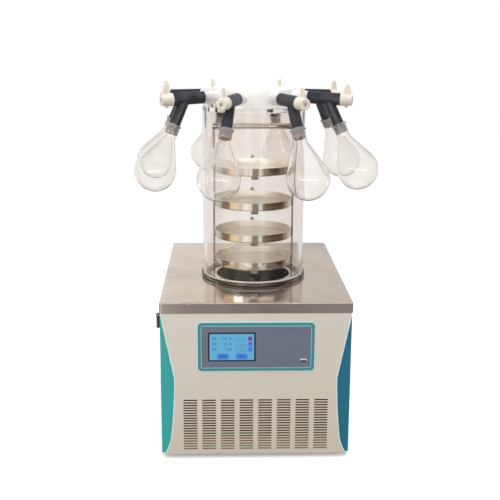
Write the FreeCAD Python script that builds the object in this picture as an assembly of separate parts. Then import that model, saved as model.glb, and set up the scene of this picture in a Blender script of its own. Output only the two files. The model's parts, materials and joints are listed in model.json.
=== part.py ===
"""Benchtop manifold freeze dryer.

A painted cabinet holds the refrigeration set and the cold trap.  On its steel
deck stands a clear drying chamber with a rack of four trays.  A clear manifold
on the chamber carries eight rubber valves, each with a glass flask.

Millimetres.  +Z is up, the front faces -Y and +X is to the right of someone who
stands in front.  The origin is on the bench, under the centre of the cabinet.
"""
import FreeCAD, Part
import math
import os

Vec = FreeCAD.Vector
X_AXIS, Y_AXIS, Z_AXIS = Vec(1, 0, 0), Vec(0, 1, 0), Vec(0, 0, 1)

# Cabinet
CABINET_W = 450.0
CABINET_D = 615.0
CABINET_H = 379.0          # underside of the base pan to the top of the deck
FOOT_H = 10.0
FOOT_R = 16.0
FOOT_INSET = 55.0          # from the cabinet's edges to a foot's centre
SHEET = 1.2                # side, back and base sheet
SHEET_GAP = 0.5            # how far the side sheets stand inside the deck's edge
FLANGE = 14.0              # width of the folded edges of the sheets
PAN_WALL_H = 22.0

# Deck
DECK_SHEET = 1.5
DECK_LIP = 25.5
DECK_CORNER_R = 6.0
DECK_EDGE_R = 2.5

# Front fascia: an hourglass outline between two sloping corner trims
FASCIA_SETBACK = 1.0       # behind the deck's edge
FASCIA_DEPTH = 16.0
FASCIA_WALL = 2.5
FASCIA_EDGE_R = 1.2
FASCIA_TOP_INSET = 1.8     # fascia's edge to the trim's outer edge, at the top
WAIST_INSET = 33.5         # the same at the waist
FOOT_CURVE_INSET = 7.0     # the same at the bottom
WAIST_Z = 192.0            # waist above the cabinet's underside
TRIM_GAP = 0.3
TRIM_SLOPE = 14.0          # degrees
TRIM_EDGE_DROP = 11.0      # trim's outer edge behind the fascia's face

# Air slots in the fascia
SLOT_COLUMNS = 8
SLOT_ROWS = 20
SLOT_W = 32.4
SLOT_H = 3.4
SLOT_PITCH_X = 44.3
SLOT_PITCH_Z = 6.5
SLOT_BOTTOM_Z = 13.2       # lowest slot's lower edge above the cabinet's underside

# Control panel in the fascia
PANEL_W = 272.0
PANEL_H = 118.0
PANEL_CENTRE_Z = 272.0     # above the cabinet's underside
PANEL_CORNER_R = 9.0
BEZEL_BORDER = 9.0
BEZEL_T = 3.2
PLATE_T = 1.8
PLATE_GAP = 0.3
WINDOW_MARGIN = 18.0       # the plate's edge to the window cut behind it
SCREEN_W = 110.5
SCREEN_H = 70.5
SCREEN_X = -56.8
SCREEN_FRAME = 3.0         # dark border around the lit glass
SCREEN_PROUD = 0.6
SCREEN_BACK_DEPTH = 12.0
USB_W = 16.0
USB_H = 7.4
USB_X = 111.0
USB_DROP = 33.5            # below the panel's centre
USB_DEPTH = 17.0

# Cold trap
TRAP_Y = -47.0             # axis of trap, chamber and manifold
TRAP_R = 96.0
TRAP_WALL = 1.5
TRAP_DEPTH = 165.0
TRAP_FLANGE = 14.0
TRAP_CLEARANCE = 0.5
COIL_TUBE_R = 4.75
COIL_TURNS = 6
COIL_LOW = 16.0            # lowest turn above the trap's floor
FOAM_T = 18.0
FOAM_GAP = 0.3

# Ports of the trap
PORT_TUBE_R = 12.5
PORT_TUBE_WALL = 1.8
PORT_DROP = 48.0           # vacuum port's axis below the deck
PORT_REACH = 36.8          # beyond the back sheet
PORT_COLLAR_R = 20.0
PORT_COLLAR_T = 3.0
DRAIN_R = 6.0
DRAIN_WALL = 1.2
DRAIN_BEND_R = 18.0
DRAIN_REACH = 26.0
DRAIN_BELOW_FOAM = 22.0
VENT_Y = -220.0
VENT_DROP = 56.0           # vent stub's axis below the deck
VENT_STANDOFF = 9.0        # tail's axis from the side sheet
VENT_TAIL_R = 3.9
VENT_RIB_R = 5.5
VENT_RIBS = 4
VENT_RIB_PITCH = 7.5
VENT_TAIL_L = 32.0

# Chamber
SEAL_H = 8.0
SEAL_LIP_H = 1.5
SEAL_LIP_GAP = 0.5
SEAL_LIP_T = 4.2
SEAL_FLAT_INSET = 0.7      # inner edge inside the chamber wall
CHAMBER_R = 127.7
CHAMBER_WALL = 8.0
CHAMBER_H = 431.0          # deck to the top of the chamber's top plate
TOP_PLATE_T = 10.0
JOINT_LINE = 0.25          # between one clear piece and the next
TOP_MOUTH_R = 80.0

# Manifold
DRUM_R = 101.0
DRUM_WALL = 8.0
DRUM_H = 39.5
LID_T = 4.0
LID_OVERHANG = 2.0
LID_SPIGOT = 5.0
PORTS = 8
FIRST_PORT = 26.0          # degrees from the front towards +X
PORT_RISE = 23.0           # port's axis above the chamber's top plate
NOZZLE_R = 15.5
NOZZLE_BORE_R = 10.0
NOZZLE_L = 36.3

# Rubber valves, each with a turning plug
VALVE_R = 14.6
VALVE_L = 81.0
VALVE_GAP = 0.2
VALVE_EDGE_R = 1.8
VALVE_DROOP = 2.3          # degrees, under the flask's weight
VALVE_STEM_L = 15.0
VALVE_GAS_R = 6.0
PLUG_BORE_R = 9.0
PLUG_CLEARANCE = 0.08
PLUG_DEPTH = 58.0          # shaft inside the valve
PLUG_CAP_GAP = 0.3
PLUG_CAP_L = 27.5
PLUG_CAP_R = 15.5
PLUG_FACE_R = 13.2
PLUG_FACE_EDGE_R = 2.5
PLUG_DIMPLE_R = 4.6
PLUG_DIMPLE_DEPTH = 7.0
PLUG_PASSAGE_R = 4.5
WING_BASE = 22.0
WING_BASE_Z = 11.0         # height at which the wing leaves the cap
WING_T = 6.0
WING_H = 37.0              # wing's tip above the plug's axis
WING_TIP_R = 5.0
WING_EDGE_R = 2.0
NUB_R = 4.0                # pointer under the cap
NUB_H = 3.5
BRANCH_AT = 47.7           # branch's axis from the valve's inner end
BRANCH_LEAN = 27.6         # degrees from square to the valve
BRANCH_TOP_R = 13.0
BRANCH_END_R = 14.0
BRANCH_L = 66.0            # valve's axis to the flask's mouth
BRANCH_IN_NECK = 24.0
BRANCH_END_EDGE_R = 2.0

# Flasks
FLASK_R = 50.3
FLASK_WALL = 1.8
FLASK_CENTRE = 119.0       # mouth to the centre of the bulb
NECK_GAP = 0.25            # between the branch and the neck
NECK_L = 36.0              # mouth to the corner between neck and shoulder
NECK_BLEND_R = 12.0
MOUTH_BEAD_R = 2.6

# Tray rack
TRAY_R = 97.0
TRAY_H = 19.5
TRAY_WALL = 1.2
TRAY_EDGE_R = 3.0
TRAY_SEATS = (33.0, 102.5, 182.0, 267.5)    # undersides of the trays above the deck
ROD_R = 2.5
ROD_GAP = 0.4
RACK_BAR_R = 7.5
RACK_BAR_Z = 380.0
STRIP_W = 17.0
STRIP_T = 1.5
STRIP_LIP = 7.0
STRIP_STOP = 8.0           # rear stop above the tray's rim
BASE_RING_INSET = 6.0      # ring's inner edge inside the rods' axes
BASE_RING_SEAT = 9.9       # how far the ring lies on the trap's flange
BASE_RING_T = 3.0

# Refrigeration set
COMPRESSOR_R = 70.0
COMPRESSOR_H = 160.0
COMPRESSOR_X = 100.0
COMPRESSOR_REAR_GAP = 67.0 # pot to the back sheet's plane
GROMMET_H = 12.0
GROMMET_R = 10.0
CONDENSER_W = 290.0
CONDENSER_H = 140.0
CONDENSER_T = 38.0
CONDENSER_FRONT_GAP = 9.0  # behind the fascia's back edge
CONDENSER_BEND_REACH = 8.0
CONDENSER_FINS = 24
CONDENSER_GROOVE = 12.0
CONDENSER_TUBE_PITCH = 28.0
FAN_R = 58.0
FAN_TIP_GAP = 3.0
FAN_BLADES = 7
FAN_HUB_R = 20.0
FAN_DEPTH = 16.0
FAN_SHAFT_R = 4.0
FAN_SHAFT_GAP = 0.05
SHROUD_T = 1.5
SHROUD_DEPTH = 26.0
FAN_MOTOR_R = 26.0
FAN_MOTOR_L = 36.0
LINE_R = 4.0
LINE_BEND_R = 16.0
SUPPLY_SIZE = (120.0, 90.0, 66.0)
SUPPLY_X = -115.0
SUPPLY_REAR_GAP = 57.0

# Rear fittings
GRILLE_R = 55.0
GRILLE_SLOT_H = 5.0
GRILLE_PITCH = 11.0
INLET_X = -150.0
INLET_Z = 120.0
SWITCH_X = -104.0
SWITCH_FLANGE_T = 1.2
SWITCH_PIVOT_R = 1.5
SWITCH_PIVOT_GAP = 0.06
SWITCH_TILT = 8.0          # degrees each way
ROCKER_HALF_W = 5.2
ROCKER_HALF_H = 8.8
ROCKER_DEPTH = 6.0
ROCKER_VALLEY = 1.4        # how far its face dips at the middle

# Places that follow from the sizes above
UNDER_Z = FOOT_H
DECK_Z = FOOT_H + CABINET_H
PANEL_TOP = DECK_Z - DECK_LIP
SIDE_X = CABINET_W / 2 - SHEET_GAP
REAR_Y = CABINET_D / 2 - SHEET_GAP
FASCIA_Y = -CABINET_D / 2 + FASCIA_SETBACK
FASCIA_BACK_Y = FASCIA_Y + FASCIA_DEPTH
PAN_TOP = UNDER_Z + SHEET
PORT_Z = DECK_Z + CHAMBER_H + PORT_RISE
TRAP_FLOOR_Z = DECK_Z - TRAP_DEPTH
TRAP_UNDER_Z = TRAP_FLOOR_Z - TRAP_WALL
COIL_R = TRAP_R + TRAP_WALL + COIL_TUBE_R + 0.3
FOAM_R = COIL_R + COIL_TUBE_R + FOAM_GAP + FOAM_T
RACK_FOOT_Z = DECK_Z + DECK_SHEET
ROD_X = TRAY_R + ROD_GAP + ROD_R
NOZZLE_END = DRUM_R + NOZZLE_L
COMPRESSOR_Y = REAR_Y - COMPRESSOR_REAR_GAP - COMPRESSOR_R
SUPPLY_Y = REAR_Y - SUPPLY_REAR_GAP - SUPPLY_SIZE[1] / 2


def cylinder(radius, length, start, direction=Z_AXIS):
    return Part.makeCylinder(radius, length, start, direction)


def tube(outer, inner, length, start, direction=Z_AXIS):
    return cylinder(outer, length, start, direction).cut(
        cylinder(inner, length, start, direction))


def block(x0, x1, y0, y1, z0, z1):
    return Part.makeBox(x1 - x0, y1 - y0, z1 - z0, Vec(x0, y0, z0))


def revolved(profile, centre=Vec(0, 0, 0)):
    """Turn a closed (radius, height) outline about the vertical axis through centre."""
    corners = [Vec(radius, 0, height) for radius, height in profile]
    face = Part.Face(Part.makePolygon(corners + corners[:1]))
    solid = face.revolve(Vec(0, 0, 0), Z_AXIS, 360)
    solid.translate(centre)
    return solid


def rounded_plate(width, height, radius, thickness, centre_x, front_y, centre_z):
    """A plate in the XZ plane with rounded corners; its front face is at front_y."""
    plate = block(centre_x - width / 2, centre_x + width / 2, front_y, front_y + thickness,
                  centre_z - height / 2, centre_z + height / 2)
    corners = [edge for edge in plate.Edges if is_along(edge, Y_AXIS)]
    return plate.makeFillet(radius, corners)


def is_along(edge, direction):
    first, last = edge.Vertexes[0].Point, edge.Vertexes[-1].Point
    run = last.sub(first)
    return run.Length > 0 and abs(abs(run.normalize().dot(direction)) - 1) < 1e-6


def pipe(points, radius, bend):
    """A solid round bar along straight runs joined by arcs of one bend radius."""
    edges = []
    start = points[0]
    for before, corner, after in zip(points, points[1:], points[2:]):
        inward = before.sub(corner).normalize()
        onward = after.sub(corner).normalize()
        half = math.acos(max(-1, min(1, inward.dot(onward)))) / 2
        setback = bend / math.tan(half)
        arc_start = corner + inward * setback
        arc_end = corner + onward * setback
        bisector = (inward + onward).normalize()
        middle = corner + bisector * (bend / math.sin(half) - bend)
        edges.append(Part.LineSegment(start, arc_start).toShape())
        edges.append(Part.Arc(arc_start, middle, arc_end).toShape())
        start = arc_end
    edges.append(Part.LineSegment(start, points[-1]).toShape())
    section = Part.Wire([Part.makeCircle(radius, points[0], points[1].sub(points[0]))])
    return Part.Wire(edges).makePipe(Part.Face(section))


def mirrored(shape):
    return shape.mirror(Vec(0, 0, 0), X_AXIS)


# Cabinet -----------------------------------------------------------------

def foot_centres():
    x = CABINET_W / 2 - FOOT_INSET
    y = CABINET_D / 2 - FOOT_INSET
    return [Vec(sx * x, sy * y, 0) for sx in (-1, 1) for sy in (-1, 1)]


def feet():
    """Four turned rubber feet, narrower at the bench, each with its bolt."""
    bolt_r = 2.5
    solids = []
    for centre in foot_centres():
        profile = [(0, 0), (FOOT_R - 3, 0), (FOOT_R, 3), (FOOT_R, FOOT_H), (bolt_r, FOOT_H),
                   (bolt_r, FOOT_H + SHEET + 6), (0, FOOT_H + SHEET + 6)]
        solids.append(revolved(profile, centre))
    return Part.makeCompound(solids)


def base_pan():
    """Folded steel tray that carries the refrigeration set."""
    half_w = SIDE_X - SHEET
    outer = block(-half_w, half_w, FASCIA_BACK_Y, REAR_Y - SHEET, UNDER_Z, UNDER_Z + PAN_WALL_H)
    inner = block(-half_w + SHEET, half_w - SHEET, FASCIA_BACK_Y + SHEET,
                  REAR_Y - 2 * SHEET, PAN_TOP, UNDER_Z + PAN_WALL_H + 1)
    pan = outer.cut(inner)
    bolt_hole_r = 3.0
    for centre in foot_centres():
        pan = pan.cut(cylinder(bolt_hole_r, SHEET + 2, centre + Vec(0, 0, UNDER_Z - 1)))
    return pan


def side_panel():
    """The right side sheet, with its edges folded inwards at the front, top and rear."""
    outer = block(SIDE_X - FLANGE, SIDE_X, FASCIA_BACK_Y, REAR_Y, UNDER_Z, PANEL_TOP)
    inner = block(SIDE_X - FLANGE - 1, SIDE_X - SHEET, FASCIA_BACK_Y + SHEET, REAR_Y - SHEET,
                  UNDER_Z - 1, PANEL_TOP - SHEET)
    panel = outer.cut(inner)
    pan_slot = block(SIDE_X - FLANGE - 1, SIDE_X - SHEET, FASCIA_BACK_Y - 1, REAR_Y + 1,
                     UNDER_Z - 1, UNDER_Z + PAN_WALL_H + 2)
    return panel.cut(pan_slot)


def left_side_panel():
    hole = cylinder(VENT_TAIL_R + 0.3, 4, Vec(-SIDE_X - 2, VENT_Y, DECK_Z - VENT_DROP), X_AXIS)
    return mirrored(side_panel()).cut(hole)


def back_panel():
    """Rear sheet between the side sheets, with the fan grille and the cut-outs."""
    gap = 0.3
    half_w = SIDE_X - SHEET - gap
    # The sheet lies on the side sheets' rear folds.
    sheet = block(-half_w, half_w, REAR_Y, REAR_Y + SHEET, UNDER_Z, PANEL_TOP)
    fold = block(-half_w + FLANGE, half_w - FLANGE, REAR_Y - FLANGE, REAR_Y + SHEET,
                 PANEL_TOP - SHEET, PANEL_TOP)
    panel = sheet.fuse(fold).removeSplitter()
    cuts = []
    grille_x, grille_z = COMPRESSOR_X, UNDER_Z + 110
    rows = int(GRILLE_R / GRILLE_PITCH)
    for row in range(-rows, rows + 1):
        offset = row * GRILLE_PITCH
        half = math.sqrt(GRILLE_R ** 2 - offset ** 2)
        if half < GRILLE_SLOT_H:
            continue
        cuts.append(block(grille_x - half, grille_x + half, REAR_Y - 2, REAR_Y + 4,
                          grille_z + offset - GRILLE_SLOT_H / 2,
                          grille_z + offset + GRILLE_SLOT_H / 2))
    cuts.append(inlet_body(0.3, REAR_Y - 2, REAR_Y + 4))
    cuts.append(switch_body(0.3, REAR_Y - 2, REAR_Y + 4))
    cuts.append(cylinder(PORT_TUBE_R + 0.3, 8, Vec(0, REAR_Y - 4, DECK_Z - PORT_DROP), Y_AXIS))
    cuts.append(cylinder(DRAIN_R + 0.3, 8, Vec(0, REAR_Y - 4, drain_z()), Y_AXIS))
    return panel.cut(Part.makeCompound(cuts))


def deck_top():
    """Stainless deck pressed from one sheet, with a lip all round and the trap's hole."""
    half_w, half_d = CABINET_W / 2, CABINET_D / 2
    outer = block(-half_w, half_w, -half_d, half_d, PANEL_TOP, DECK_Z)
    outer = outer.makeFillet(DECK_CORNER_R, [e for e in outer.Edges if is_along(e, Z_AXIS)])
    rim = [e for e in outer.Edges if e.BoundBox.ZMin > DECK_Z - 0.01]
    outer = outer.makeFillet(DECK_EDGE_R, rim)
    t = DECK_SHEET
    inner = block(-half_w + t, half_w - t, -half_d + t, half_d - t, PANEL_TOP - 1, DECK_Z - t)
    inner = inner.makeFillet(DECK_CORNER_R - t, [e for e in inner.Edges if is_along(e, Z_AXIS)])
    hole = cylinder(TRAP_R + TRAP_WALL + TRAP_CLEARANCE, 10, Vec(0, TRAP_Y, DECK_Z - 5))
    return outer.cut(inner).cut(hole)


# Front -------------------------------------------------------------------

def hourglass(inset):
    """Outline edges of the right half of the fascia, from the bottom to the top.

    inset draws the outline in from the fascia's own edge.
    """
    edge_x = SIDE_X - inset
    bottom_z, waist_z = UNDER_Z, UNDER_Z + WAIST_Z
    foot = Vec(edge_x - FOOT_CURVE_INSET, FASCIA_Y, bottom_z)
    # The lower side swells from the waist and turns out to the corner.
    knee = Vec(edge_x - FOOT_CURVE_INSET - 17.5, FASCIA_Y, bottom_z + 0.26 * WAIST_Z)
    waist = Vec(edge_x - WAIST_INSET, FASCIA_Y, waist_z)
    top = Vec(edge_x - FASCIA_TOP_INSET, FASCIA_Y, PANEL_TOP)
    turn = foot + (knee - foot) * 0.5 + Vec(-3.2, 0, 0)
    swell = knee + (waist - knee) * 0.5 + Vec(-1.6, 0, 0)
    return [Part.Arc(foot, turn, knee).toShape(), Part.Arc(knee, swell, waist).toShape(),
            Part.LineSegment(waist, top).toShape()]


def fascia_outline(inset, depth_from_face):
    """Closed fascia outline, as a wire in a plane behind the fascia's face."""
    right = hourglass(inset)
    left = [mirrored(edge) for edge in right]
    foot, top = right[0].Vertexes[0].Point, right[-1].Vertexes[-1].Point
    bottom = Part.LineSegment(Vec(-foot.x, foot.y, foot.z), foot).toShape()
    lid = Part.LineSegment(top, Vec(-top.x, top.y, top.z)).toShape()
    wire = Part.Wire(Part.__sortEdges__([bottom] + right + [lid] + left))
    wire.translate(Y_AXIS * depth_from_face)
    return wire


def panel_centre_z():
    return UNDER_Z + PANEL_CENTRE_Z


def air_slots():
    """Cutting tools for the grid of air slots in the fascia."""
    slots = []
    for column in range(SLOT_COLUMNS):
        x = (column - (SLOT_COLUMNS - 1) / 2) * SLOT_PITCH_X
        for row in range(SLOT_ROWS):
            z = UNDER_Z + SLOT_BOTTOM_Z + row * SLOT_PITCH_Z
            slots.append(block(x - SLOT_W / 2, x + SLOT_W / 2, FASCIA_Y - 2,
                               FASCIA_Y + FASCIA_WALL + 2, z, z + SLOT_H))
    return Part.makeCompound(slots)


def front_panel():
    """Moulded fascia: an hourglass face with side walls, open at the back."""
    shell = Part.Face(fascia_outline(0, 0)).extrude(Y_AXIS * FASCIA_DEPTH)
    rim = [e for e in shell.Edges if e.BoundBox.YMax < FASCIA_Y + 0.01]
    shell = shell.makeFillet(FASCIA_EDGE_R, rim)
    hollow_w = Part.Face(fascia_outline(FASCIA_WALL, FASCIA_WALL)).extrude(Y_AXIS * FASCIA_DEPTH)
    trim_z = block(-CABINET_W, CABINET_W, FASCIA_Y - 1, FASCIA_Y + FASCIA_DEPTH + 9,
                   UNDER_Z + FASCIA_WALL, PANEL_TOP - FASCIA_WALL)
    shell = shell.cut(hollow_w.common(trim_z))
    window = rounded_plate(PANEL_W - 2 * BEZEL_BORDER - WINDOW_MARGIN,
                           PANEL_H - 2 * BEZEL_BORDER - WINDOW_MARGIN, 3, FASCIA_WALL + 4,
                           0, FASCIA_Y - 2, panel_centre_z())
    return shell.cut(window).cut(air_slots())


def corner_trim():
    """Right corner trim: fills the hourglass and slopes back to the side sheet."""
    edge = hourglass(-TRIM_GAP)
    foot, top = edge[0].Vertexes[0].Point, edge[-1].Vertexes[-1].Point
    corner_low, corner_high = Vec(SIDE_X, FASCIA_Y, UNDER_Z), Vec(SIDE_X, FASCIA_Y, PANEL_TOP)
    outline = edge + [Part.LineSegment(top, corner_high).toShape(),
                      Part.LineSegment(corner_high, corner_low).toShape(),
                      Part.LineSegment(corner_low, foot).toShape()]
    solid = Part.Face(Part.Wire(Part.__sortEdges__(outline))).extrude(Y_AXIS * FASCIA_DEPTH)
    reach = 2 * WAIST_INSET
    rise = reach * math.tan(math.radians(TRIM_SLOPE))
    outer_y = FASCIA_Y + TRIM_EDGE_DROP
    corners = [Vec(SIDE_X + 1, FASCIA_Y - 30, 0), Vec(SIDE_X + 1, outer_y + rise / reach, 0),
               Vec(SIDE_X - reach, outer_y - rise, 0), Vec(SIDE_X - reach, FASCIA_Y - 30, 0)]
    away = Part.Face(Part.makePolygon(corners + corners[:1])).extrude(Z_AXIS * (DECK_Z + 50))
    return solid.cut(away)


def control_bezel():
    frame = rounded_plate(PANEL_W, PANEL_H, PANEL_CORNER_R, BEZEL_T, 0, FASCIA_Y - BEZEL_T,
                          panel_centre_z())
    rim = [e for e in frame.Edges if e.BoundBox.YMax < FASCIA_Y - BEZEL_T + 0.01]
    frame = frame.makeFillet(1.2, rim)
    opening = rounded_plate(PANEL_W - 2 * BEZEL_BORDER, PANEL_H - 2 * BEZEL_BORDER, 3,
                            BEZEL_T + 2, 0, FASCIA_Y - BEZEL_T - 1, panel_centre_z())
    return frame.cut(opening)


def control_plate():
    width = PANEL_W - 2 * BEZEL_BORDER - 2 * PLATE_GAP
    height = PANEL_H - 2 * BEZEL_BORDER - 2 * PLATE_GAP
    plate = rounded_plate(width, height, 3 - PLATE_GAP, PLATE_T, 0, FASCIA_Y - PLATE_T,
                          panel_centre_z())
    gap = 0.2
    screen = block(SCREEN_X - SCREEN_W / 2 - gap, SCREEN_X + SCREEN_W / 2 + gap,
                   FASCIA_Y - 5, FASCIA_Y + 5, panel_centre_z() - SCREEN_H / 2 - gap,
                   panel_centre_z() + SCREEN_H / 2 + gap)
    usb = rounded_plate(USB_W - 2.4, USB_H - 1.8, 0.8, 10, USB_X, FASCIA_Y - 5,
                        panel_centre_z() - USB_DROP)
    return plate.cut(screen).cut(usb)


def touch_screen():
    """Display module: a thin glass in the plate and its wider body behind."""
    centre_z = panel_centre_z()
    glass = rounded_plate(SCREEN_W, SCREEN_H, 1.5, PLATE_T + SCREEN_PROUD, SCREEN_X,
                          FASCIA_Y - PLATE_T - SCREEN_PROUD, centre_z)
    lit = block(SCREEN_X - SCREEN_W / 2 + SCREEN_FRAME, SCREEN_X + SCREEN_W / 2 - SCREEN_FRAME,
                FASCIA_Y - PLATE_T - SCREEN_PROUD - 1, FASCIA_Y - PLATE_T - SCREEN_PROUD + 0.4,
                centre_z - SCREEN_H / 2 + SCREEN_FRAME, centre_z + SCREEN_H / 2 - SCREEN_FRAME)
    body = block(SCREEN_X - SCREEN_W / 2 - 3, SCREEN_X + SCREEN_W / 2 + 3, FASCIA_Y,
                 FASCIA_Y + SCREEN_BACK_DEPTH, centre_z - SCREEN_H / 2 - 2,
                 centre_z + SCREEN_H / 2 + 2)
    return glass.cut(lit).fuse(body)


def usb_socket():
    """Data socket: a rounded rim on the plate, a metal shell and its tongue."""
    z = panel_centre_z() - USB_DROP
    front = FASCIA_Y - PLATE_T
    rim = rounded_plate(USB_W, USB_H, 2.5, 1.0, USB_X, front - 1.0, z)
    shell = rounded_plate(USB_W - 2.8, USB_H - 2.2, 0.7, USB_DEPTH, USB_X, front - 0.5, z)
    mouth = block(USB_X - 5.9, USB_X + 5.9, front - 2, front + USB_DEPTH - 3, z - 2.1, z + 2.1)
    tongue = block(USB_X - 5.0, USB_X + 5.0, front + 1, front + USB_DEPTH - 2, z - 0.1, z + 1.4)
    return rim.fuse(shell).cut(mouth).fuse(tongue)


def control_board():
    """Circuit board on four posts behind the fascia, with its tall components."""
    post_l = 18.0
    y = FASCIA_Y + FASCIA_WALL + post_l
    low, high = panel_centre_z() - 66, panel_centre_z() + 66
    board = block(-118, 122, y, y + 1.6, low, high)
    for x in (-112, 116):
        for z in (low + 6, high - 6):
            board = board.fuse(cylinder(3, post_l, Vec(x, y - post_l, z), Y_AXIS))
    board = board.fuse(block(-20, 30, y + 1.6, y + 26, low + 20, low + 60))
    for x in (50, 74, 98):
        board = board.fuse(cylinder(8, 22, Vec(x, y + 1.6, high - 30), Y_AXIS))
    return board


# Rear fittings -----------------------------------------------------------

def inlet_body(grow, y0, y1):
    return block(INLET_X - 14 - grow, INLET_X + 14 + grow, y0, y1, INLET_Z - 10.5 - grow,
                 INLET_Z + 10.5 + grow)


def power_inlet():
    """Three-pin mains inlet: a flange on the back sheet and a socket with blades."""
    face = REAR_Y + SHEET
    flange = rounded_plate(49, 23, 3, 2.5, INLET_X, face, INLET_Z)
    body = flange.fuse(inlet_body(0, face - 22, face))
    cavity = block(INLET_X - 12, INLET_X + 12, face - 15, face + 5, INLET_Z - 8, INLET_Z + 8)
    corners = [e for e in cavity.Edges if is_along(e, Y_AXIS) and e.BoundBox.ZMin > INLET_Z]
    body = body.cut(cavity.makeChamfer(4, corners))
    for x, z in ((-7, -2), (0, 2), (7, -2)):
        body = body.fuse(block(INLET_X + x - 1, INLET_X + x + 1, face - 16, face - 1,
                               INLET_Z + z - 2, INLET_Z + z + 2))
    return body


def switch_body(grow, y0, y1):
    return block(SWITCH_X - 7.5 - grow, SWITCH_X + 7.5 + grow, y0, y1, INLET_Z - 12.5 - grow,
                 INLET_Z + 12.5 + grow)


def switch_pivot():
    return Vec(SWITCH_X, REAR_Y + SHEET + SWITCH_FLANGE_T - ROCKER_DEPTH + SWITCH_PIVOT_R,
               INLET_Z)


def switch_housing():
    """Snap-in switch body with a flange, a cavity and the seats of the rocker's pivots."""
    face = REAR_Y + SHEET
    body_depth, cavity_depth, side_gap, end_gap, seat_depth = 18, 12, 0.5, 1.4, 1.7
    flange = rounded_plate(19, 29, 1.5, SWITCH_FLANGE_T, SWITCH_X, face, INLET_Z)
    body = flange.fuse(switch_body(0, face - body_depth, face))
    half_w = ROCKER_HALF_W + side_gap
    half_h = ROCKER_HALF_H + end_gap
    cavity = block(SWITCH_X - half_w, SWITCH_X + half_w, face - cavity_depth, face + 4,
                   INLET_Z - half_h, INLET_Z + half_h)
    half_seat = ROCKER_HALF_W + seat_depth
    seat = cylinder(SWITCH_PIVOT_R + SWITCH_PIVOT_GAP, 2 * half_seat,
                    switch_pivot() - X_AXIS * half_seat, X_AXIS)
    return body.cut(cavity).cut(seat)


def switch_rocker():
    """Rocker with a shallow V face, tilted to its off side, on two pivot stubs."""
    pivot = switch_pivot()
    valley = pivot.y + ROCKER_DEPTH - SWITCH_PIVOT_R
    ridge, back = valley + ROCKER_VALLEY, pivot.y - 2 * SWITCH_PIVOT_R
    outline = [Vec(0, ridge, -ROCKER_HALF_H), Vec(0, valley, 0), Vec(0, ridge, ROCKER_HALF_H),
               Vec(0, back + 2, ROCKER_HALF_H), Vec(0, back, 2), Vec(0, back, -2),
               Vec(0, back + 2, -ROCKER_HALF_H)]
    side = Part.Face(Part.makePolygon(outline + outline[:1]))
    rocker = side.extrude(X_AXIS * 2 * ROCKER_HALF_W)
    rocker.translate(Vec(SWITCH_X - ROCKER_HALF_W, 0, INLET_Z))
    stub_reach = ROCKER_HALF_W + 1.5
    stubs = cylinder(SWITCH_PIVOT_R, 2 * stub_reach, pivot - X_AXIS * stub_reach, X_AXIS)
    rocker = rocker.fuse(stubs)
    rocker.rotate(pivot, X_AXIS, -SWITCH_TILT)
    return rocker


# Cold trap ---------------------------------------------------------------

def trap_axis(z):
    return Vec(0, TRAP_Y, z)


def cold_trap_well():
    """Deep-drawn steel cup with a rolled flange that lies on the deck."""
    outer_r = TRAP_R + TRAP_WALL
    top = DECK_Z + DECK_SHEET
    profile = [(0, TRAP_UNDER_Z), (outer_r - 6, TRAP_UNDER_Z), (outer_r, TRAP_UNDER_Z + 6),
               (outer_r, DECK_Z), (outer_r + TRAP_FLANGE, DECK_Z), (outer_r + TRAP_FLANGE, top),
               (TRAP_R, top), (TRAP_R, TRAP_FLOOR_Z + 5.5), (TRAP_R - 5.5, TRAP_FLOOR_Z),
               (0, TRAP_FLOOR_Z)]
    cup = revolved(profile, trap_axis(0))
    port = cylinder(PORT_TUBE_R - PORT_TUBE_WALL, TRAP_R + 30, trap_axis(DECK_Z - PORT_DROP),
                    Y_AXIS)
    drain = cylinder(DRAIN_R - DRAIN_WALL, 20, trap_axis(TRAP_UNDER_Z - 10))
    vent = cylinder(LINE_R - 1, TRAP_R + 30, trap_axis(DECK_Z - PORT_DROP), X_AXIS * -1)
    return cup.cut(port).cut(drain).cut(vent)


def evaporator_coil():
    """Copper tube wound around the cup, its turns soldered to one another."""
    low = TRAP_FLOOR_Z + COIL_LOW
    inner_r = COIL_R - COIL_TUBE_R
    edges = [Part.LineSegment(Vec(inner_r, 0, low + COIL_TURNS * 2 * COIL_TUBE_R),
                              Vec(inner_r, 0, low)).toShape()]
    edges.append(Part.LineSegment(Vec(inner_r, 0, low), Vec(COIL_R, 0, low)).toShape())
    for turn in range(COIL_TURNS):
        z = low + (2 * turn + 1) * COIL_TUBE_R
        edges.append(Part.Arc(Vec(COIL_R, 0, z - COIL_TUBE_R), Vec(COIL_R + COIL_TUBE_R, 0, z),
                              Vec(COIL_R, 0, z + COIL_TUBE_R)).toShape())
    top = low + COIL_TURNS * 2 * COIL_TUBE_R
    edges.append(Part.LineSegment(Vec(COIL_R, 0, top), Vec(inner_r, 0, top)).toShape())
    band = Part.Face(Part.Wire(edges)).revolve(Vec(0, 0, 0), Z_AXIS, 360)
    band.translate(trap_axis(0))
    return band


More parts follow.
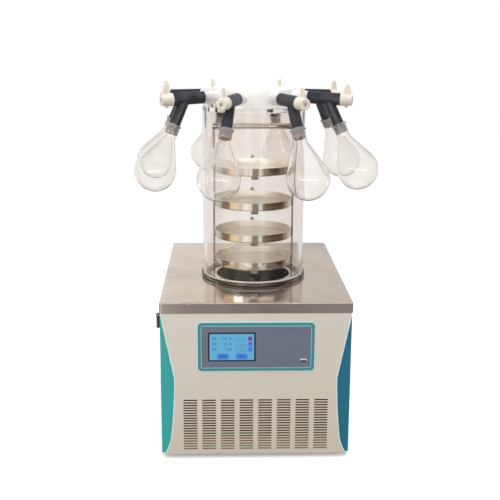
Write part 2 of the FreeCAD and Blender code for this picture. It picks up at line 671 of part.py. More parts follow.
def trap_insulation():
    """Foam jacket around the coil and under the cup."""
    inner_r = COIL_R + COIL_TUBE_R + FOAM_GAP
    cup_r = TRAP_R + TRAP_WALL + FOAM_GAP
    coil_top = TRAP_FLOOR_Z + COIL_LOW + 2 * COIL_TUBE_R * COIL_TURNS + 4
    under = TRAP_UNDER_Z - FOAM_GAP
    profile = [(0, under - FOAM_T), (FOAM_R, under - FOAM_T), (FOAM_R, DECK_Z - DECK_SHEET),
               (cup_r, DECK_Z - DECK_SHEET), (cup_r, coil_top), (inner_r, coil_top),
               (inner_r, under), (0, under)]
    jacket = revolved(profile, trap_axis(0))
    port_z = DECK_Z - PORT_DROP
    jacket = jacket.cut(cylinder(PORT_TUBE_R + FOAM_GAP, FOAM_R + 5, trap_axis(port_z), Y_AXIS))
    jacket = jacket.cut(cylinder(LINE_R + FOAM_GAP, FOAM_R + 5, trap_axis(port_z), X_AXIS * -1))
    jacket = jacket.cut(cylinder(DRAIN_R + FOAM_GAP, FOAM_T + 20,
                                 trap_axis(under - FOAM_T - 10)))
    for end_z in coil_ends():
        jacket = jacket.cut(cylinder(LINE_R + FOAM_GAP, FOAM_R, Vec(COIL_R, TRAP_Y, end_z), X_AXIS))
    return jacket


def coil_ends():
    """Heights at which the coil's two lines leave through the foam."""
    first = TRAP_FLOOR_Z + COIL_LOW + COIL_TUBE_R
    return first, first + 2 * COIL_TUBE_R * (COIL_TURNS - 1)


def vacuum_port():
    """Pump connection: a steel tube from the cup through the back sheet."""
    z = DECK_Z - PORT_DROP
    seat_r = TRAP_R + TRAP_WALL + 0.2
    end_y = REAR_Y + SHEET + PORT_REACH
    pipe_out = cylinder(PORT_TUBE_R, end_y - TRAP_Y, trap_axis(z), Y_AXIS)
    pipe_out = pipe_out.cut(cylinder(seat_r, 80, trap_axis(z - 40)))
    collar = cylinder(PORT_COLLAR_R, PORT_COLLAR_T, Vec(0, REAR_Y + SHEET + 0.2, z), Y_AXIS)
    bore = cylinder(PORT_TUBE_R - PORT_TUBE_WALL, end_y - TRAP_Y + 2, trap_axis(z), Y_AXIS)
    return pipe_out.fuse(collar).cut(bore)


def drain_z():
    return TRAP_UNDER_Z - FOAM_GAP - FOAM_T - DRAIN_BELOW_FOAM


def drain_line():
    """Defrost drain from the bottom of the cup to a tail behind the cabinet."""
    top = trap_axis(TRAP_UNDER_Z - 0.2)
    corner = trap_axis(drain_z())
    end = Vec(0, REAR_Y + SHEET + DRAIN_REACH, drain_z())
    outer = pipe([top, corner, end], DRAIN_R, DRAIN_BEND_R)
    bore = pipe([top + Z_AXIS, corner, end + Y_AXIS], DRAIN_R - DRAIN_WALL, DRAIN_BEND_R)
    collar = cylinder(DRAIN_R + 4, 2.5, Vec(0, REAR_Y + SHEET + 0.2, drain_z()), Y_AXIS)
    return outer.fuse(collar).cut(bore)


def vent_fitting():
    """Elbow on the left side sheet with a ribbed tail that points down."""
    z = DECK_Z - VENT_DROP
    tail_x = -SIDE_X - VENT_STANDOFF
    rose = cylinder(8.5, 2.5, Vec(-SIDE_X, VENT_Y, z), X_AXIS * -1)
    stub = cylinder(VENT_TAIL_R, VENT_STANDOFF + 6, Vec(tail_x, VENT_Y, z), X_AXIS)
    knuckle = Part.makeSphere(VENT_RIB_R, Vec(tail_x, VENT_Y, z))
    tail = cylinder(VENT_TAIL_R, VENT_TAIL_L, Vec(tail_x, VENT_Y, z - VENT_TAIL_L))
    fitting = rose.fuse(stub).fuse(knuckle).fuse(tail)
    for rib in range(VENT_RIBS):
        low = z - VENT_TAIL_L + rib * VENT_RIB_PITCH
        cone = Part.makeCone(VENT_TAIL_R, VENT_RIB_R, VENT_RIB_PITCH * 0.7,
                             Vec(tail_x, VENT_Y, low))
        fitting = fitting.fuse(cone)
    bore = cylinder(2.4, VENT_TAIL_L + 1, Vec(tail_x, VENT_Y, z - VENT_TAIL_L - 1))
    cross = cylinder(2.4, VENT_STANDOFF + 8, Vec(tail_x, VENT_Y, z), X_AXIS)
    return fitting.cut(bore).cut(cross)


def vent_line():
    """Tube between the cup and the vent fitting."""
    port_z = DECK_Z - PORT_DROP
    cup_x = -(TRAP_R + TRAP_WALL + 0.2)
    end_x = -SIDE_X - VENT_STANDOFF + VENT_STANDOFF + 6 + 0.2
    run_x = -(FOAM_R + 28)
    points = [Vec(cup_x, TRAP_Y, port_z), Vec(run_x, TRAP_Y, port_z),
              Vec(run_x, VENT_Y, DECK_Z - VENT_DROP), Vec(end_x, VENT_Y, DECK_Z - VENT_DROP)]
    return pipe(points, LINE_R, LINE_BEND_R)


# Chamber and manifold ----------------------------------------------------

def seal_ring():
    """Rubber ring under the chamber, with a low lip around the wall."""
    inner_r = CHAMBER_R - CHAMBER_WALL - SEAL_FLAT_INSET
    lip_r = CHAMBER_R + SEAL_LIP_GAP
    outer_r = lip_r + SEAL_LIP_T
    low, seat, top = DECK_Z, DECK_Z + SEAL_H, DECK_Z + SEAL_H + SEAL_LIP_H
    profile = [(inner_r, low), (outer_r, low), (outer_r, top - 1), (outer_r - 1, top),
               (lip_r, top), (lip_r, seat), (inner_r, seat)]
    return revolved(profile, trap_axis(0))


def chamber_cylinder():
    low = DECK_Z + SEAL_H + JOINT_LINE
    high = DECK_Z + CHAMBER_H - TOP_PLATE_T - JOINT_LINE
    return tube(CHAMBER_R, CHAMBER_R - CHAMBER_WALL, high - low, trap_axis(low))


def chamber_top_plate():
    z = DECK_Z + CHAMBER_H - TOP_PLATE_T
    return tube(CHAMBER_R, TOP_MOUTH_R, TOP_PLATE_T, trap_axis(z))


def port_angles():
    """Turn about +Z that carries +X onto each port's outward direction."""
    return [FIRST_PORT + 360.0 / PORTS * port - 90.0 for port in range(PORTS)]


def at_port(shape, angle, radius):
    """Place a shape built along +X at the origin with its origin at a port."""
    placed = shape.copy()
    placed.translate(X_AXIS * radius)
    placed.rotate(Vec(0, 0, 0), Z_AXIS, angle)
    placed.translate(trap_axis(PORT_Z))
    return placed


def manifold_drum():
    """Clear drum with a nozzle at each port."""
    base = trap_axis(DECK_Z + CHAMBER_H + JOINT_LINE)
    drum = tube(DRUM_R, DRUM_R - DRUM_WALL, DRUM_H - 2 * JOINT_LINE, base)
    root = DRUM_R - DRUM_WALL / 2
    nozzle = cylinder(NOZZLE_R, NOZZLE_END - root, Vec(0, 0, 0), X_AXIS)
    bore_start = DRUM_R - DRUM_WALL - 3
    bore = cylinder(NOZZLE_BORE_R, NOZZLE_END - bore_start + 1, Vec(0, 0, 0), X_AXIS)
    nozzles = [at_port(nozzle, angle, root) for angle in port_angles()]
    bores = [at_port(bore, angle, bore_start) for angle in port_angles()]
    return drum.multiFuse(nozzles).cut(Part.makeCompound(bores))


def manifold_lid():
    """Lid with a spigot inside the drum."""
    z = DECK_Z + CHAMBER_H + DRUM_H
    disc = cylinder(DRUM_R + LID_OVERHANG, LID_T, trap_axis(z))
    spigot = cylinder(DRUM_R - DRUM_WALL - 0.3, LID_SPIGOT, trap_axis(z - LID_SPIGOT))
    hollow = cylinder(DRUM_R - DRUM_WALL - 4, LID_SPIGOT, trap_axis(z - LID_SPIGOT))
    return disc.fuse(spigot).cut(hollow)


# Valves, in a frame with +X outwards and the origin at the valve's inner end ------

def branch_direction():
    lean = math.radians(BRANCH_LEAN)
    return Vec(math.sin(lean), 0, -math.cos(lean))


def drooped(shape):
    sagging = shape.copy()
    sagging.rotate(Vec(0, 0, 0), Y_AXIS, VALVE_DROOP)
    return sagging


def valve_body():
    """Rubber tee: a barrel for the plug and a leaning branch that enters the flask."""
    overrun = 4.0
    barrel = cylinder(VALVE_R, VALVE_L + overrun, Vec(-overrun, 0, 0), X_AXIS)
    rim = [e for e in barrel.Edges if e.BoundBox.XMin > VALVE_L - 0.01]
    barrel = barrel.makeFillet(VALVE_EDGE_R, rim)
    root = Vec(BRANCH_AT, 0, 0)
    along = branch_direction()
    branch = Part.makeCone(BRANCH_TOP_R, BRANCH_END_R, BRANCH_L + BRANCH_IN_NECK, root, along)
    tip = root + along * (BRANCH_L + BRANCH_IN_NECK)
    end_rim = [e for e in branch.Edges
               if len(e.Vertexes) == 1 and e.Vertexes[0].Point.sub(tip).Length < BRANCH_END_R + 1]
    branch = branch.makeFillet(BRANCH_END_EDGE_R, end_rim)
    body = barrel.fuse(branch)
    plug_bore = cylinder(PLUG_BORE_R, PLUG_DEPTH + 2, Vec(VALVE_L - PLUG_DEPTH - 1, 0, 0), X_AXIS)
    gas_way = cylinder(VALVE_GAS_R, BRANCH_L + BRANCH_IN_NECK + 5, root, along)
    back_way = cylinder(VALVE_GAS_R, VALVE_L - PLUG_DEPTH + 6, Vec(-5, 0, 0), X_AXIS)
    body = drooped(body.cut(plug_bore).cut(gas_way).cut(back_way))
    body = body.cut(block(-40, 0, -40, 40, -40, 40))
    stem = tube(NOZZLE_BORE_R - VALVE_GAP, VALVE_GAS_R, VALVE_STEM_L + 1.5,
                Vec(-VALVE_STEM_L, 0, 0), X_AXIS)
    return body.fuse(stem)


def valve_wing(middle):
    """Petal that tapers from the cap to a round tip."""
    tip = Vec(middle, 0, WING_H - WING_TIP_R)
    corner = Vec(middle + WING_BASE / 2, 0, WING_BASE_Z)
    reach = tip.sub(corner)
    lean = math.atan2(reach.z, reach.x) - math.asin(WING_TIP_R / reach.Length)
    side = math.sqrt(reach.Length ** 2 - WING_TIP_R ** 2)
    touch = corner + Vec(math.cos(lean), 0, math.sin(lean)) * side

    def facing(point):
        return Vec(2 * middle - point.x, 0, point.z)

    foot = Vec(corner.x, 0, 0)
    runs = [(facing(touch), facing(corner)), (facing(corner), facing(foot)),
            (facing(foot), foot), (foot, corner), (corner, touch)]
    edges = [Part.LineSegment(start, end).toShape() for start, end in runs]
    edges.append(Part.Arc(touch, Vec(middle, 0, WING_H), facing(touch)).toShape())
    face = Part.Face(Part.Wire(Part.__sortEdges__(edges)))
    face.translate(Vec(0, -WING_T / 2, 0))
    wing = face.extrude(Y_AXIS * WING_T)
    rim = [e for e in wing.Edges if e.BoundBox.ZMin > WING_BASE_Z - 0.01
           and e.BoundBox.YLength < 0.01]
    return wing.makeFillet(WING_EDGE_R, rim)


def valve_plug():
    """Plug with a gas passage, a tapered cap, a wing to turn it by and a pointer."""
    shaft_r = PLUG_BORE_R - PLUG_CLEARANCE
    cap_x = VALVE_L + PLUG_CAP_GAP
    shaft = cylinder(shaft_r, cap_x - (VALVE_L - PLUG_DEPTH) + 1,
                     Vec(VALVE_L - PLUG_DEPTH, 0, 0), X_AXIS)
    cap = Part.makeCone(PLUG_CAP_R, PLUG_FACE_R, PLUG_CAP_L, Vec(cap_x, 0, 0), X_AXIS)
    face_rim = [e for e in cap.Edges if e.BoundBox.XMin > cap_x + PLUG_CAP_L - 0.01]
    cap = cap.makeFillet(PLUG_FACE_EDGE_R, face_rim)
    middle = cap_x + PLUG_CAP_L / 2
    nub = cylinder(NUB_R, PLUG_CAP_R + NUB_H, Vec(middle, 0, 0), Z_AXIS * -1)
    nub_rim = [e for e in nub.Edges if e.BoundBox.ZMax < -PLUG_CAP_R]
    nub = nub.makeFillet(NUB_R / 2, nub_rim)
    plug = shaft.fuse(cap).fuse(valve_wing(middle)).fuse(nub)
    dimple = cylinder(PLUG_DIMPLE_R, PLUG_DIMPLE_DEPTH + 1,
                      Vec(cap_x + PLUG_CAP_L - PLUG_DIMPLE_DEPTH, 0, 0), X_AXIS)
    back_way = cylinder(PLUG_PASSAGE_R, BRANCH_AT - (VALVE_L - PLUG_DEPTH) + 1,
                        Vec(VALVE_L - PLUG_DEPTH - 1, 0, 0), X_AXIS)
    side_way = cylinder(PLUG_PASSAGE_R, PLUG_BORE_R + 3, Vec(BRANCH_AT, 0, 0), Z_AXIS * -1)
    return drooped(plug.cut(dimple).cut(back_way).cut(side_way))


def flask():
    """Pear-shaped glass: a beaded neck, a sloping shoulder and a round bulb.

    Built along -Z with its mouth at the origin, then turned onto the branch.
    """
    neck_r = BRANCH_END_R + NECK_GAP + FLASK_WALL
    outer = flask_side(0)
    inner = flask_side(FLASK_WALL)
    axis_bottom = Vec(0, 0, -FLASK_CENTRE - FLASK_R)
    inner_bottom = Vec(0, 0, -FLASK_CENTRE - FLASK_R + FLASK_WALL)
    base = Part.LineSegment(axis_bottom, inner_bottom).toShape()
    lip = Part.LineSegment(Vec(neck_r, 0, 0), Vec(neck_r - FLASK_WALL, 0, 0)).toShape()
    wire = Part.Wire(Part.__sortEdges__(outer + inner + [base, lip]))
    glass = Part.Face(wire).revolve(Vec(0, 0, 0), Z_AXIS, 360)
    bead = Part.makeTorus(neck_r, MOUTH_BEAD_R, Vec(0, 0, -MOUTH_BEAD_R - 0.2))
    keep_out = cylinder(neck_r - FLASK_WALL, 20, Vec(0, 0, -10))
    glass = glass.fuse(bead.cut(keep_out))
    lean = Vec(0, 0, -1).cross(branch_direction())
    glass.rotate(Vec(0, 0, 0), lean, BRANCH_LEAN)
    glass.translate(Vec(BRANCH_AT, 0, 0) + branch_direction() * BRANCH_L)
    return drooped(glass)


def flask_side(inset):
    """Side line of the glass in the XZ plane, drawn in by inset, from mouth to axis."""
    neck_r = BRANCH_END_R + NECK_GAP + FLASK_WALL - inset
    bulb_r = FLASK_R - inset
    slope = shoulder_slope()
    corner_s = NECK_L + inset * math.tan(slope / 2)
    blend_r = NECK_BLEND_R + inset
    setback = blend_r * math.tan(slope / 2)
    centre_r, start_s = neck_r + blend_r, corner_s - setback

    def blend_point(angle):
        return Vec(centre_r - blend_r * math.cos(angle), 0,
                   -(start_s + blend_r * math.sin(angle)))

    def bulb_point(angle):
        """Angle is measured from the widest circle towards the bottom."""
        return Vec(bulb_r * math.cos(angle), 0, -(FLASK_CENTRE + bulb_r * math.sin(angle)))

    neck_end, shoulder = blend_point(0), blend_point(slope)
    bulb_start, bottom = bulb_point(-slope), bulb_point(math.pi / 2)
    middle = bulb_point((math.pi / 2 - slope) / 2)
    return [Part.LineSegment(Vec(neck_r, 0, 0), neck_end).toShape(),
            Part.Arc(neck_end, blend_point(slope / 2), shoulder).toShape(),
            Part.LineSegment(shoulder, bulb_start).toShape(),
            Part.Arc(bulb_start, middle, bottom).toShape()]


def shoulder_slope():
    """Angle at which a line from the neck's corner touches the bulb."""
    neck_r = BRANCH_END_R + NECK_GAP + FLASK_WALL
    run = FLASK_CENTRE - NECK_L
    reach = math.hypot(run, neck_r)
    return math.asin(FLASK_R / reach) - math.atan2(neck_r, run)


# Tray rack ---------------------------------------------------------------

def tray(seat):
    """Pressed dish with a rounded bottom edge and a square rim."""
    z = DECK_Z + seat
    dish = cylinder(TRAY_R, TRAY_H, trap_axis(z))
    dish = dish.makeFillet(TRAY_EDGE_R, [e for e in dish.Edges if e.BoundBox.ZMax < z + 0.01])
    inside = cylinder(TRAY_R - TRAY_WALL, TRAY_H, trap_axis(z + TRAY_WALL))
    corner_r = TRAY_EDGE_R - TRAY_WALL
    low = [e for e in inside.Edges if e.BoundBox.ZMax < z + TRAY_WALL + 0.01]
    return dish.cut(inside.makeFillet(corner_r, low))


def shelf(seat):
    """Crossed strips under one tray, with a front lip and a rear stop."""
    z = DECK_Z + seat
    half = STRIP_W / 2
    across = block(-ROD_X, ROD_X, TRAP_Y - half, TRAP_Y + half, z - STRIP_T, z)
    front, rear = TRAP_Y - TRAY_R + 1, TRAP_Y + TRAY_R + ROD_GAP
    along = block(-half, half, front, rear + STRIP_T, z - STRIP_T, z)
    lip = block(-half, half, front, front + STRIP_T, z - STRIP_LIP, z)
    stop = block(-half / 2, half / 2, rear, rear + STRIP_T, z - STRIP_T,
                 z + TRAY_H + STRIP_STOP)
    return [across, along, lip, stop]


def rack_frame():
    """Welded rack: a base ring, two rods, a top bar and four crossed shelves."""
    ring = tube(TRAP_R + BASE_RING_SEAT, ROD_X - BASE_RING_INSET, BASE_RING_T,
                trap_axis(RACK_FOOT_Z))
    bar_z = DECK_Z + RACK_BAR_Z
    pieces = []
    for side in (-1, 1):
        pieces.append(cylinder(ROD_R, bar_z - RACK_FOOT_Z - 1,
                               Vec(side * ROD_X, TRAP_Y, RACK_FOOT_Z + 1)))
    bar_half = ROD_X + ROD_R + 1
    pieces.append(cylinder(RACK_BAR_R, 2 * bar_half, Vec(-bar_half, TRAP_Y, bar_z), X_AXIS))
    for seat in TRAY_SEATS:
        pieces += shelf(seat)
    return ring.multiFuse(pieces)


# Refrigeration set -------------------------------------------------------

def compressor_feet():
    return [Vec(COMPRESSOR_X + sx * 62, COMPRESSOR_Y + sy * 50, PAN_TOP)
            for sx in (-1, 1) for sy in (-1, 1)]


def compressor():
    """Hermetic pot in two drawn halves on a foot plate, with its terminal cover."""
    low = PAN_TOP + GROMMET_H
    centre = Vec(COMPRESSOR_X, COMPRESSOR_Y, 0)
    plate_t, r, h = 3.0, COMPRESSOR_R, COMPRESSOR_H
    profile = [(0, low), (r - 16, low), (r - 5, low + 8), (r - 2, low + 22),
               (r - 2, low + 0.5 * h), (r, low + 0.5 * h), (r, low + 0.5 * h + 8),
               (r - 3, low + 0.5 * h + 8), (r - 3, low + h - 34), (r - 9, low + h - 16),
               (r - 22, low + h - 5), (r - 42, low + h), (0, low + h)]
    pot = revolved(profile, centre)
    plate = block(COMPRESSOR_X - 72, COMPRESSOR_X + 72, COMPRESSOR_Y - 60, COMPRESSOR_Y + 60,
                  low, low + plate_t)
    plate = plate.makeFillet(12, [e for e in plate.Edges if is_along(e, Z_AXIS)])
    for foot in compressor_feet():
        plate = plate.cut(cylinder(4, 20, foot + Z_AXIS * (GROMMET_H - 8)))
    cover = block(COMPRESSOR_X - 22, COMPRESSOR_X + 22, COMPRESSOR_Y + r - 14,
                  COMPRESSOR_Y + r + 18, low + 50, low + 100)
    return pot.fuse(plate).fuse(cover)


def compressor_grommets():
    """Rubber mounts with the bolts that hold the foot plate down."""
    solids = []
    for foot in compressor_feet():
        profile = [(0, PAN_TOP), (GROMMET_R, PAN_TOP), (GROMMET_R, PAN_TOP + GROMMET_H),
                   (3.6, PAN_TOP + GROMMET_H), (3.6, PAN_TOP + GROMMET_H + 8),
                   (0, PAN_TOP + GROMMET_H + 8)]
        solids.append(revolved(profile, Vec(foot.x, foot.y, 0)))
    return Part.makeCompound(solids)


def condenser_front():
    return FASCIA_BACK_Y + CONDENSER_FRONT_GAP


def condenser():
    """Fin pack between two end plates, with the return bends of its tube at the ends."""
    y0 = condenser_front()
    y1 = y0 + CONDENSER_T
    half = CONDENSER_W / 2
    low, high = PAN_TOP, PAN_TOP + CONDENSER_H
    plate_t, groove_w = 1.5, 6.0
    pack = block(-half, half, y0 + 2, y1 - 2, low + 6, high - 3)
    pitch = CONDENSER_W / CONDENSER_FINS
    grooves = []
    for fin in range(CONDENSER_FINS):
        x = -half + pitch * (fin + 0.5)
        for start in (y0, y1 - CONDENSER_GROOVE):
            grooves.append(block(x - groove_w / 2, x + groove_w / 2, start,
                                 start + CONDENSER_GROOVE, low + 5, high - 2))
    pieces = [block(side * half - plate_t / 2, side * half + plate_t / 2, y0, y1, low, high)
              for side in (-1, 1)]
    middle = (low + high) / 2
    tube_y = (y0 + y1) / 2
    reach = half + CONDENSER_BEND_REACH
    # Four passes: two return bends on the left, one on the right, and both ends on the right.
    for side, centre in ((-1, -1.0), (-1, 1.0), (1, 0.0)):
        z = middle + centre * CONDENSER_TUBE_PITCH
        ends = (z - CONDENSER_TUBE_PITCH / 2, z + CONDENSER_TUBE_PITCH / 2)
        for end_z in ends:
            pieces.append(cylinder(LINE_R, CONDENSER_BEND_REACH, Vec(side * half, tube_y, end_z),
                                   X_AXIS * side))
        pieces.append(cylinder(LINE_R, CONDENSER_TUBE_PITCH + 2 * LINE_R,
                               Vec(side * reach, tube_y, ends[0] - LINE_R)))
    for end_z in condenser_ends():
        pieces.append(cylinder(LINE_R, CONDENSER_BEND_REACH, Vec(half, tube_y, end_z), X_AXIS))
    return pack.cut(Part.makeCompound(grooves)).multiFuse(pieces)


def condenser_ends():
    """Heights of the tube's two ends on the right of the fin pack."""
    middle = PAN_TOP + CONDENSER_H / 2
    return middle - 1.5 * CONDENSER_TUBE_PITCH, middle + 1.5 * CONDENSER_TUBE_PITCH


def fan_centre():
    return Vec(0, condenser_front() + CONDENSER_T, PAN_TOP + CONDENSER_H / 2)


def fan_shroud():
    """Sheet hood on the back of the condenser with a round throat for the fan."""
    centre = fan_centre()
    half = CONDENSER_W / 2
    y0 = centre.y
    plate = block(-half, half, y0, y0 + SHROUD_T, PAN_TOP, PAN_TOP + CONDENSER_H)
    throat = cylinder(FAN_R + FAN_TIP_GAP + SHROUD_T, SHROUD_DEPTH, centre, Y_AXIS)
    hole = cylinder(FAN_R + FAN_TIP_GAP, SHROUD_DEPTH + 4, centre - Y_AXIS * 2, Y_AXIS)
    struts = block(-half + 20, half - 20, y0 + SHROUD_DEPTH - 1, y0 + SHROUD_DEPTH + 2,
                   centre.z - 6, centre.z + 6)
    legs = [block(side * (half - 26) - 6, side * (half - 26) + 6, y0,
                  y0 + SHROUD_DEPTH + 2, centre.z - 6, centre.z + 6) for side in (-1, 1)]
    hub_hole = cylinder(FAN_SHAFT_R + 4, 20, centre + Y_AXIS * (SHROUD_DEPTH - 8), Y_AXIS)
    return plate.fuse(throat).cut(hole).fuse(struts).multiFuse(legs).cut(hub_hole)


def fan_rotor():
    """Hub with twisted blades on the motor's shaft."""
    centre = fan_centre()
    y0 = centre.y + 4
    hub = cylinder(FAN_HUB_R, FAN_DEPTH, Vec(0, y0, centre.z), Y_AXIS)
    blades = []
    for blade in range(FAN_BLADES):
        root = block(FAN_HUB_R - 3, FAN_R, -FAN_DEPTH / 2 + 1, -FAN_DEPTH / 2 + 2.6, -13, 13)
        root.translate(Vec(0, FAN_DEPTH / 2, 0))
        root.rotate(Vec(0, FAN_DEPTH / 2, 0), X_AXIS, 24)
        root.rotate(Vec(0, 0, 0), Y_AXIS, 360.0 * blade / FAN_BLADES)
        root.translate(Vec(0, y0, centre.z))
        blades.append(root)
    tip = cylinder(FAN_R, 3 * FAN_DEPTH, Vec(0, y0 - FAN_DEPTH, centre.z), Y_AXIS)
    rotor = hub.multiFuse([blade.common(tip) for blade in blades])
    return rotor.cut(cylinder(FAN_SHAFT_R + FAN_SHAFT_GAP, 60,
                              Vec(0, y0 - 20, centre.z), Y_AXIS))


def fan_motor():
    """Round motor behind the shroud's strut, with its shaft through the hub."""
    centre = fan_centre()
    face_y = centre.y + SHROUD_DEPTH + 2
    can = cylinder(FAN_MOTOR_R, FAN_MOTOR_L, Vec(0, face_y, centre.z), Y_AXIS)
    can = can.makeFillet(3, [e for e in can.Edges if e.BoundBox.YMin > face_y + FAN_MOTOR_L - 1])
    shaft = cylinder(FAN_SHAFT_R, face_y - centre.y - 4, Vec(0, centre.y + 4, centre.z), Y_AXIS)
    return can.fuse(shaft)


def refrigerant_lines():
    """Copper lines: discharge to the condenser, liquid to the coil and suction back."""
    half = CONDENSER_W / 2
    cond_y = condenser_front() + CONDENSER_T / 2
    tube_x = half + CONDENSER_BEND_REACH + 0.2
    low_z, high_z = condenser_ends()
    pot_top = PAN_TOP + GROMMET_H + COMPRESSOR_H
    coil_low, coil_high = coil_ends()
    coil_x = COIL_R + COIL_TUBE_R + 0.2
    side_x = SIDE_X - SHEET - FLANGE - 12
    discharge = pipe([Vec(COMPRESSOR_X + 24, COMPRESSOR_Y, pot_top),
                      Vec(COMPRESSOR_X + 24, COMPRESSOR_Y, pot_top + 26),
                      Vec(side_x, COMPRESSOR_Y, pot_top + 26),
                      Vec(side_x, COMPRESSOR_Y - 60, high_z),
                      Vec(side_x, cond_y, high_z), Vec(tube_x, cond_y, high_z)],
                     LINE_R, LINE_BEND_R)
    liquid = pipe([Vec(tube_x, cond_y, low_z), Vec(side_x - 12, cond_y, low_z),
                   Vec(side_x - 12, TRAP_Y, low_z), Vec(side_x - 12, TRAP_Y, coil_low),
                   Vec(coil_x, TRAP_Y, coil_low)], LINE_R, LINE_BEND_R)
    suction = pipe([Vec(coil_x, TRAP_Y, coil_high), Vec(FOAM_R + 24, TRAP_Y, coil_high),
                    Vec(FOAM_R + 24, COMPRESSOR_Y - 20, coil_high),
                    Vec(COMPRESSOR_X, COMPRESSOR_Y - 20, coil_high - 10),
                    Vec(COMPRESSOR_X, COMPRESSOR_Y - 20, pot_top)], LINE_R, LINE_BEND_R)
    return Part.makeCompound([discharge, liquid, suction])


def power_supply():
    """Ventilated box of the mains supply on the base pan."""
    w, d, h = SUPPLY_SIZE
    box = block(SUPPLY_X - w / 2, SUPPLY_X + w / 2, SUPPLY_Y - d / 2, SUPPLY_Y + d / 2,
                PAN_TOP, PAN_TOP + h)
    slots = [block(SUPPLY_X - w / 2 + 12 + 12 * slot, SUPPLY_X - w / 2 + 18 + 12 * slot,
                   SUPPLY_Y - d / 2 + 12, SUPPLY_Y + d / 2 - 12, PAN_TOP + h - 3,
                   PAN_TOP + h + 1) for slot in range(8)]
    return box.cut(Part.makeCompound(slots))


def build():
    parts = {
        "base_pan": base_pan(),
        "feet": feet(),
        "front_panel": front_panel(),
        "left_corner_trim": mirrored(corner_trim()),
        "right_corner_trim": corner_trim(),
        "left_side_panel": left_side_panel(),
        "right_side_panel": side_panel(),
        "back_panel": back_panel(),
        "deck_top": deck_top(),
        "control_bezel": control_bezel(),
        "control_plate": control_plate(),
        "touch_screen": touch_screen(),
        "usb_socket": usb_socket(),
        "control_board": control_board(),
        "power_inlet": power_inlet(),
        "switch_housing": switch_housing(),
        "switch_rocker": switch_rocker(),
        "cold_trap_well": cold_trap_well(),
        "evaporator_coil": evaporator_coil(),
        "trap_insulation": trap_insulation(),
        "vacuum_port": vacuum_port(),
        "drain_line": drain_line(),
        "vent_fitting": vent_fitting(),
        "vent_line": vent_line(),
        "compressor": compressor(),
        "compressor_grommets": compressor_grommets(),
        "condenser": condenser(),
        "fan_shroud": fan_shroud(),
        "fan_rotor": fan_rotor(),
        "fan_motor": fan_motor(),
        "refrigerant_lines": refrigerant_lines(),
        "power_supply": power_supply(),
        "seal_ring": seal_ring(),
        "chamber_cylinder": chamber_cylinder(),
        "chamber_top_plate": chamber_top_plate(),
        "manifold_drum": manifold_drum(),
        "manifold_lid": manifold_lid(),
        "rack_frame": rack_frame(),
    }
    for number, seat in enumerate(TRAY_SEATS, 1):
        parts["tray_%d" % number] = tray(seat)
    valve_start = NOZZLE_END + VALVE_GAP
    body, plug, glass = valve_body(), valve_plug(), flask()
    bodies = [at_port(body, angle, valve_start) for angle in port_angles()]
    parts["valve_bodies"] = Part.makeCompound(bodies)
    for number, angle in enumerate(port_angles(), 1):
        parts["valve_plug_%d" % number] = at_port(plug, angle, valve_start)
        parts["flask_%d" % number] = at_port(glass, angle, valve_start)
    return parts


os.makedirs("parts", exist_ok=True)
for name, shape in build().items():
    if not shape.isValid():
        print("not valid:", name)
    print("%-22s solids %2d  volume %10.0f" % (name, len(shape.Solids), shape.Volume))
    shape.exportStep("parts/%s.step" % name)
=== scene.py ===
"""Looks of the benchtop freeze dryer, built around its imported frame."""
import json
import math

import bmesh
import bpy
from mathutils import Matrix, Vector


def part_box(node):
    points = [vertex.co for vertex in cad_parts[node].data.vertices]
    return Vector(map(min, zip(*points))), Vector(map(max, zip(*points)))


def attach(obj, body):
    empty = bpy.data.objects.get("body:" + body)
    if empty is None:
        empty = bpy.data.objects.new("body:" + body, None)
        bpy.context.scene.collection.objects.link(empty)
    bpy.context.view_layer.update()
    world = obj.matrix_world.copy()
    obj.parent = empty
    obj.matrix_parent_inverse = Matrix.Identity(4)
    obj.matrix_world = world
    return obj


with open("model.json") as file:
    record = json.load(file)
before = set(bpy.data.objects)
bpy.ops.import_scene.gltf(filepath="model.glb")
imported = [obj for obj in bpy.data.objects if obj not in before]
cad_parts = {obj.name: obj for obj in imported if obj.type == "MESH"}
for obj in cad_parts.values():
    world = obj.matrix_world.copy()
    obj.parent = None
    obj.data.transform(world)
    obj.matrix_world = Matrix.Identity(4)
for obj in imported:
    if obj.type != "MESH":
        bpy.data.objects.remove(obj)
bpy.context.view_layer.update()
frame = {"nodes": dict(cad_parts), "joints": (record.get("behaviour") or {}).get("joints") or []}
MM = 0.001


# Base pan, condenser, fan hood and supply box
# Folded from galvanised sheet.  The zinc shows as a faint mottling of grey tones, and
# the condenser's fins are pressed aluminium a few millimetres apart.

def tone(red, green, blue):
    """A surface colour from the usual 0-255 numbers."""
    def straight(value):
        share = value / 255
        return share / 12.92 if share <= 0.04045 else ((share + 0.055) / 1.055) ** 2.4
    return straight(red), straight(green), straight(blue), 1.0


def finish(name, colour, roughness, metal=0.0):
    """A new material with one colour, roughness and share of metal."""
    material = bpy.data.materials.new(name)
    material.use_nodes = True
    shader = material.node_tree.nodes["Principled BSDF"]
    shader.inputs["Base Color"].default_value = colour
    shader.inputs["Roughness"].default_value = roughness
    shader.inputs["Metallic"].default_value = metal
    return material


def shader_of(material):
    return material.node_tree.nodes["Principled BSDF"]


def add_node(material, kind, **settings):
    """A new node in the material, with its own settings such as operation."""
    node = material.node_tree.nodes.new(kind)
    for setting, value in settings.items():
        setattr(node, setting, value)
    return node


def join(material, outlet, inlet):
    material.node_tree.links.new(outlet, inlet)


def place_on(material, stretch=(1, 1, 1)):
    """Object coordinates, squeezed along each axis by stretch."""
    coordinates = add_node(material, "ShaderNodeTexCoord")
    mapping = add_node(material, "ShaderNodeMapping")
    mapping.inputs["Scale"].default_value = stretch
    join(material, coordinates.outputs["Object"], mapping.inputs["Vector"])
    return mapping.outputs["Vector"]


